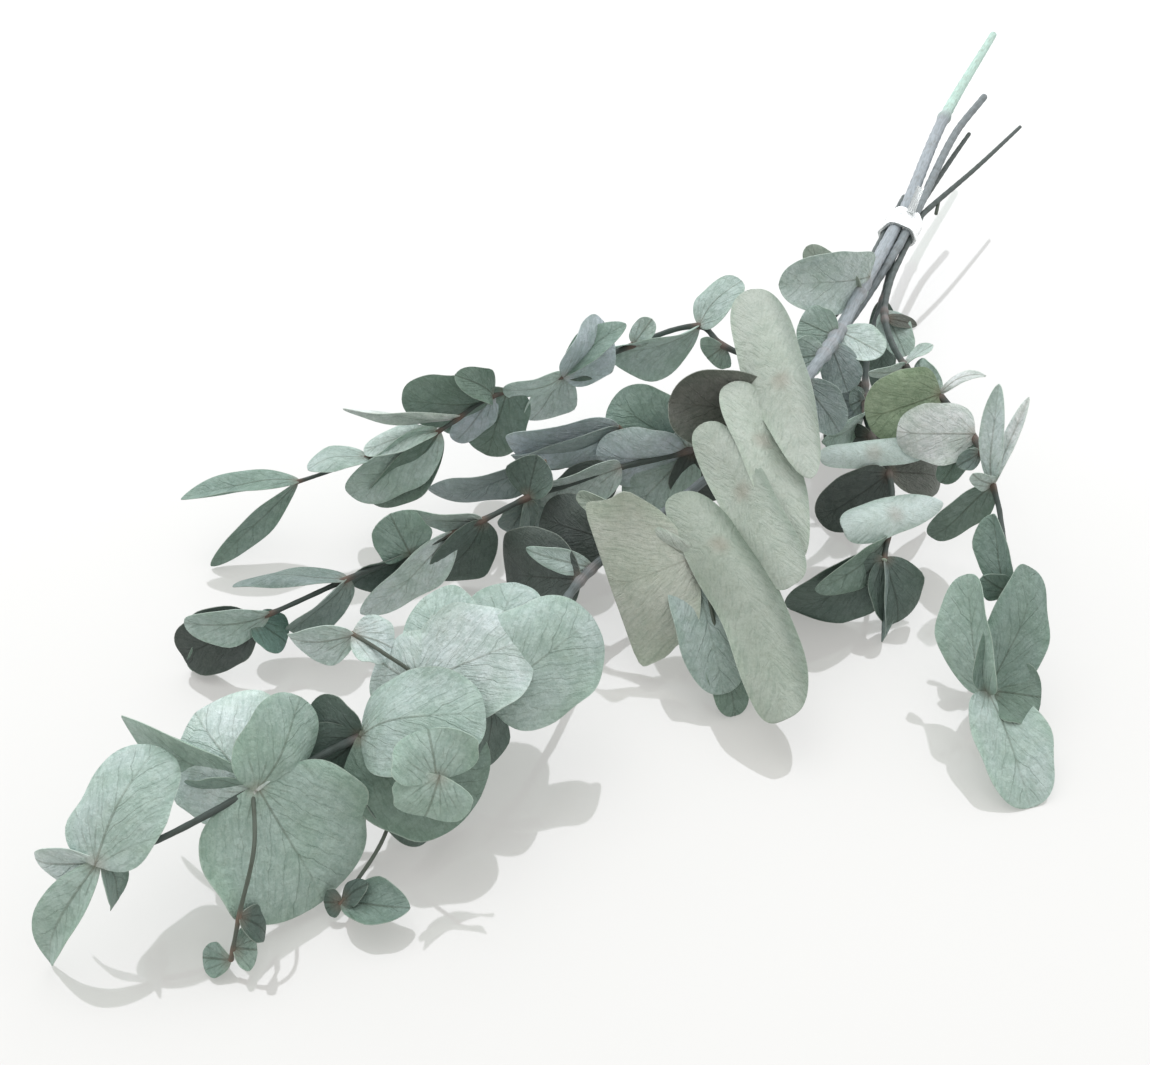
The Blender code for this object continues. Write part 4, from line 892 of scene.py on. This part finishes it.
def makeVeinGroup():
    # veins are lines of along - slant * |across|, evenly spaced and bent by noise
    # wrinkles are noise drawn out along those lines
    value, vector = "NodeSocketFloat", "NodeSocketVector"
    tree, given, made = newGroup(
        "leafVeins",
        [("Place", vector), ("Spacing", value), ("Slant", value), ("Waver", value)],
        [("Vein", value), ("Midrib", value), ("Wrinkle", value), ("Near", value)],
    )
    place = given.outputs["Place"]
    parts = put(tree, "ShaderNodeSeparateXYZ", {}, {"Vector": place})
    waver = sums(tree, "SUBTRACT", noise(tree, place, 0.11, 4.0), 0.5)
    waver = times(tree, waver, given.outputs["Waver"])
    aside = sums(tree, "ABSOLUTE", parts.outputs["X"])
    line = sums(tree, "SUBTRACT", parts.outputs["Y"], times(tree, aside, given.outputs["Slant"]))
    line = sums(tree, "ADD", line, waver)
    step = sums(tree, "DIVIDE", line, given.outputs["Spacing"])
    off = sums(tree, "ABSOLUTE", sums(tree, "SUBTRACT", sums(tree, "FRACT", step), 0.5))
    vein = times(tree, ramp(tree, off, 0.44, 0.5), ramp(tree, parts.outputs["Z"], 0.95, 0.35))
    flat = put(tree, "ShaderNodeCombineXYZ", {}, {key: parts.outputs[key] for key in "XY"}).outputs[0]
    near = put(tree, "ShaderNodeVectorMath", {"operation": "LENGTH"}, {0: flat}).outputs["Value"]
    bearing = sums(tree, "ARCTAN2", aside, parts.outputs["Y"])
    bearing = sums(tree, "ADD", bearing, times(tree, waver, 0.03))
    fan = ramp(tree, aside, 0.5, 0.08)
    # side ribs that fan out from the stem: distance * |bearing - angle|
    for angle in leafFinish["fanAngles"]:
        off = times(tree, near, sums(tree, "ABSOLUTE", sums(tree, "SUBTRACT", bearing, angle)))
        outward = ramp(tree, near, leafFinish["fanReach"], 4.0, 0.0, 0.7)
        rib = times(tree, ramp(tree, off, 0.36, 0.05), outward)
        rib = times(tree, rib, ramp(tree, noise(tree, place, 0.16), 0.40, 0.58, 0.15, 1.0))
        fan = sums(tree, "MAXIMUM", fan, rib)
    drawn = put(tree, "ShaderNodeCombineXYZ", {}, {"X": line, "Y": times(tree, aside, 0.65)})
    wrinkleAndShade = noise(tree, drawn.outputs[0], 0.48, 5.0, 0.60)
    for key, result in (("Vein", vein), ("Midrib", fan), ("Wrinkle", wrinkleAndShade), ("Near", near)):
        tree.links.new(result, made.inputs[key])
    return tree


def makeMottleGroup():
    # broad patches and fine specks over the object, each a noise between 0 and 1
    value = "NodeSocketFloat"
    names = ("Patch", "Speck", "Grain", "Crumple")
    tree, _, made = newGroup("mottle", [], [(key, value) for key in names])
    spot = put(tree, "ShaderNodeTexCoord").outputs["Object"]
    patch = ramp(tree, noise(tree, spot, 55.0, 4.0, 0.6), 0.32, 0.68)
    speck = ramp(tree, noise(tree, spot, 420.0, 3.0, 0.6), 0.45, 0.72)
    grain = noise(tree, spot, 1500.0, 2.0)
    folded = sums(tree, "ABSOLUTE", sums(tree, "SUBTRACT", noise(tree, spot, 190.0, 5.0, 0.62), 0.5))
    crumple = ramp(tree, folded, 0.0, 0.16)
    for key, result in zip(names, (patch, speck, grain, crumple)):
        tree.links.new(result, made.inputs[key])
    return tree


veinGroup = makeVeinGroup()
mottleGroup = makeMottleGroup()


def newMaterial(name, roughness, specular):
    material = bpy.data.materials.new(name)
    material.use_nodes = True
    tree = material.node_tree
    shader = tree.nodes["Principled BSDF"]
    shader.inputs["Roughness"].default_value = roughness
    shader.inputs["Specular IOR Level"].default_value = specular
    return material, tree, shader


def shadeBy(tree, factor, colour, tint):
    return blendColour(tree, "MULTIPLY", factor, colour, (*tint, 1.0))


def stretched(tree, place, scale):
    return put(tree, "ShaderNodeVectorMath", {"operation": "MULTIPLY"}, {0: place, 1: scale}).outputs[0]


def wireBump(tree, shader, strength, distance, height):
    inputs = {"Strength": strength, "Distance": distance, "Height": height}
    bump = put(tree, "ShaderNodeBump", {}, inputs)
    tree.links.new(bump.outputs["Normal"], shader.inputs["Normal"])


def makeLeafMaterial():
    material, tree, shader = newMaterial("eucalyptusLeaf", leafFinish["roughness"], leafFinish["specular"])
    place = attributeOf(tree, "leafPlace").outputs["Vector"]
    toneNode = attributeOf(tree, "leafTone")
    tone, ribbed = toneNode.outputs["Color"], toneNode.outputs["Alpha"]
    inputs = {key: leafFinish["vein" + key] for key in ("Spacing", "Slant", "Waver")}
    veins = put(tree, "ShaderNodeGroup", {"node_tree": veinGroup}, {"Place": place, **inputs})
    mottle = put(tree, "ShaderNodeGroup", {"node_tree": mottleGroup})
    parts = put(tree, "ShaderNodeSeparateXYZ", {}, {"Vector": place}).outputs
    patch, speck, grain, crumple = (mottle.outputs[key] for key in ("Patch", "Speck", "Grain", "Crumple"))
    wrinkleAndShade = veins.outputs["Wrinkle"]
    tints = leafFinish["tints"]
    dull, bright = (shadeBy(tree, 1.0, tone, tints[key]) for key in ("dull", "bright"))
    mixing = times(tree, sums(tree, "SUBTRACT", patch, 0.5), ramp(tree, ribbed, 0.0, 1.0, 0.45, 1.0))
    colour = blendColour(tree, "MIX", sums(tree, "ADD", 0.5, mixing), dull, bright)
    vein = times(tree, veins.outputs["Vein"], times(tree, ribbed, leafFinish["veinDepth"]))
    rib = times(tree, veins.outputs["Midrib"], ramp(tree, parts["Y"], 40.0, 2.0, 0.15, 0.75))
    rib = times(tree, rib, ribbed)
    # each effect darkens the colour towards its own tint, in this order
    effects = [
        # painted shade in the wrinkle troughs, where the bump is lowest
        ("wrinkleAndShade", ramp(tree, wrinkleAndShade, 0.54, 0.34)),
        # painted shade along the crumple creases, where the bump dips
        ("foldShade", times(tree, ramp(tree, crumple, 0.5, 0.0), ramp(tree, ribbed, 0.0, 1.0, 0.25, 1.0))),
        # painted shade on the side of a strap leaf that bends down
        ("turnedSideShade", times(tree, ramp(tree, parts["X"], 3.0, 9.0), ramp(tree, ribbed, 0.5, 0.2))),
        ("grain", ramp(tree, grain, 0.55, 0.40)),
        ("speck", times(tree, speck, 0.22)),
        ("vein", vein),
        ("rib", rib),
    ]
    for key, factor in effects:
        colour = shadeBy(tree, factor, colour, tints[key])
    atStem = ramp(tree, veins.outputs["Near"], leafFinish["stemReach"], 0.5, 0.0, 0.35)
    colour = blendColour(tree, "MIX", atStem, colour, (*tints["stem"], 1.0))
    colour = shadeBy(tree, ramp(tree, parts["Z"], 0.70, 0.97, 0.0, 0.4), colour, tints["edge"])
    atRim = ramp(tree, parts["Z"], 0.975, 1.0, 0.0, 0.30)
    colour = blendColour(tree, "MIX", atRim, colour, (*tints["rim"], 1.0))
    tree.links.new(colour, shader.inputs["Base Color"])
    tree.links.new(ramp(tree, patch, 0.0, 1.0, 0.46, 0.66), shader.inputs["Roughness"])
    height = wrinkleAndShade
    crumpled = ramp(tree, ribbed, 0.0, 1.0, 0.10, 0.26)
    for part, depth in ((vein, -0.7), (rib, -0.40), (patch, 0.30), (grain, 0.12), (crumple, crumpled)):
        height = sums(tree, "ADD", height, times(tree, part, depth))
    wireBump(tree, shader, leafFinish["bumpStrength"], leafFinish["bumpDepth"], height)
    return material


stemFinish = {
    "roughness": 0.55,
    "specular": 0.35,
    "grainStretch": (3.0, 0.12, 0.0),  # round the stem, along it
    "streakTint": (0.76, 0.77, 0.76),
    "speckTint": (0.70, 0.58, 0.50),
    "patchTint": (1.12, 1.13, 1.14),
    "bumpDepth": 0.0003,
}


def makeStemMaterial():
    material, tree, shader = newMaterial("eucalyptusStem", stemFinish["roughness"], stemFinish["specular"])
    tone = attributeOf(tree, "stemTone").outputs["Color"]
    place = attributeOf(tree, "stemPlace").outputs["Vector"]
    mottle = put(tree, "ShaderNodeGroup", {"node_tree": mottleGroup})
    streak = noise(tree, stretched(tree, place, stemFinish["grainStretch"]), 1.3, 3.0)
    colour = shadeBy(tree, ramp(tree, streak, 0.62, 0.35), tone, stemFinish["streakTint"])
    colour = shadeBy(tree, times(tree, mottle.outputs["Speck"], 0.35), colour, stemFinish["speckTint"])
    colour = shadeBy(tree, times(tree, mottle.outputs["Patch"], 0.6), colour, stemFinish["patchTint"])
    tree.links.new(colour, shader.inputs["Base Color"])
    height = sums(tree, "ADD", times(tree, streak, 0.8), times(tree, mottle.outputs["Grain"], 0.2))
    wireBump(tree, shader, 0.6, stemFinish["bumpDepth"], height)
    return material


filmFinish = {
    "roughness": 0.24,
    "specular": 0.5,
    "transmission": 0.72,
    "ior": 1.35,
    "creaseStretch": (0.10, 0.9, 0.0),
    "bumpDepth": 0.0005,
}


def makeFilmMaterial():
    material, tree, shader = newMaterial("tieFilmClear", filmFinish["roughness"], filmFinish["specular"])
    place = attributeOf(tree, "filmPlace").outputs["Vector"]
    crease = noise(tree, stretched(tree, place, filmFinish["creaseStretch"]), 1.0, 3.0)
    creased = ramp(tree, crease, 0.35, 0.65)
    colour = blendColour(tree, "MIX", creased, (*tie["colour"], 1.0), (*tie["foldColour"], 1.0))
    tree.links.new(colour, shader.inputs["Base Color"])
    tree.links.new(ramp(tree, crease, 0.3, 0.7, 0.16, 0.34), shader.inputs["Roughness"])
    wireBump(tree, shader, 0.5, filmFinish["bumpDepth"], crease)
    shader.inputs["Transmission Weight"].default_value = filmFinish["transmission"]
    shader.inputs["IOR"].default_value = filmFinish["ior"]
    return material


leafMaterial = makeLeafMaterial()
stemMaterial = makeStemMaterial()
filmMaterial = makeFilmMaterial()
print("scene: materials")


def addPiece(piece, material, node):
    piece.data.materials.append(material)
    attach(piece, "root")
    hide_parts(node)


for branch in branches:
    routes = branchRoutes(branch)
    addPiece(makeLeaves(branch, routes), leafMaterial, branch)
    addPiece(makeStems(branch, routes), stemMaterial, branch)
print("scene: branches")

for piece in (makeTie(), makeLooseEnd()):
    addPiece(piece, filmMaterial, "tie_band")
print("scene: tie")


# Table and light
room = {
    "tableHalf": 4.0,
    # tableFront to tableBack: the top is paler towards the back, painted light
    "tableFront": (0.40, 0.395, 0.380),
    "tableBack": (0.52, 0.52, 0.52),
    "tablePaintedGlow": 0.29,  # the table top glows by itself, painted light that keeps the shadows pale
    "tablePaintedGlowColour": (1.0, 0.985, 0.965),
    "tableRoughness": 0.045,
    "tableIor": 2.5,
    "skyFront": (0.74, 0.73, 0.71),
    "skyBack": (1.50, 1.53, 1.56),
    "keyPlace": (-0.55, 0.60, 1.6),
    "keySize": 1.1,
    "keyPower": 6.0,
}


def makeTable():
    half = room["tableHalf"]
    mesh = bpy.data.meshes.new("tableTop")
    corners = [(-half, -half, 0), (half, -half, 0), (half, half, 0), (-half, half, 0)]
    mesh.from_pydata(corners, [], [(0, 1, 2, 3)])
    table = bpy.data.objects.new("tableTop", mesh)
    bpy.context.collection.objects.link(table)
    material, tree, shader = newMaterial("tableWhite", room["tableRoughness"], 0.5)
    # paler towards the back: painted light on the table top
    spot = put(tree, "ShaderNodeTexCoord").outputs["Object"]
    away = put(tree, "ShaderNodeSeparateXYZ", {}, {"Vector": spot}).outputs["Y"]
    share = ramp(tree, away, -0.20, 0.30)
    colour = blendColour(tree, "MIX", share, (*room["tableFront"], 1.0), (*room["tableBack"], 1.0))
    tree.links.new(colour, shader.inputs["Base Color"])
    shader.inputs["IOR"].default_value = room["tableIor"]
    # painted light: the table top glows by itself and lifts its shadows
    shader.inputs["Emission Color"].default_value = (*room["tablePaintedGlowColour"], 1.0)
    shader.inputs["Emission Strength"].default_value = room["tablePaintedGlow"]
    mesh.materials.append(material)


def makeLight(name, place, size, power):
    # a square light that faces the middle of the table
    data = bpy.data.lights.new(name, "AREA")
    data.shape = "RECTANGLE"
    data.size = data.size_y = size
    data.energy = power
    light = bpy.data.objects.new(name, data)
    light.location = place
    aim = -np.array(place)
    light.rotation_euler = (
        math.atan2(math.hypot(aim[0], aim[1]), -aim[2]),
        0.0,
        math.atan2(aim[1], aim[0]) - math.pi / 2,
    )
    light.visible_glossy = False  # the table mirrors the sky alone
    bpy.context.collection.objects.link(light)


def makeSky():
    # brighter behind the bunch, as from a wide window there
    world = bpy.data.worlds.new("studio")
    world.use_nodes = True
    tree = world.node_tree
    way = put(tree, "ShaderNodeTexCoord").outputs["Generated"]
    away = put(tree, "ShaderNodeSeparateXYZ", {}, {"Vector": way}).outputs["Y"]
    share = ramp(tree, away, -0.5, 0.5)
    colour = blendColour(tree, "MIX", share, (*room["skyFront"], 1.0), (*room["skyBack"], 1.0))
    tree.links.new(colour, tree.nodes["Background"].inputs["Color"])
    bpy.context.scene.world = world


makeTable()
makeSky()
makeLight("keyLight", room["keyPlace"], room["keySize"], room["keyPower"])
bpy.context.scene.view_settings.view_transform = "Standard"
print("scene: table and light")
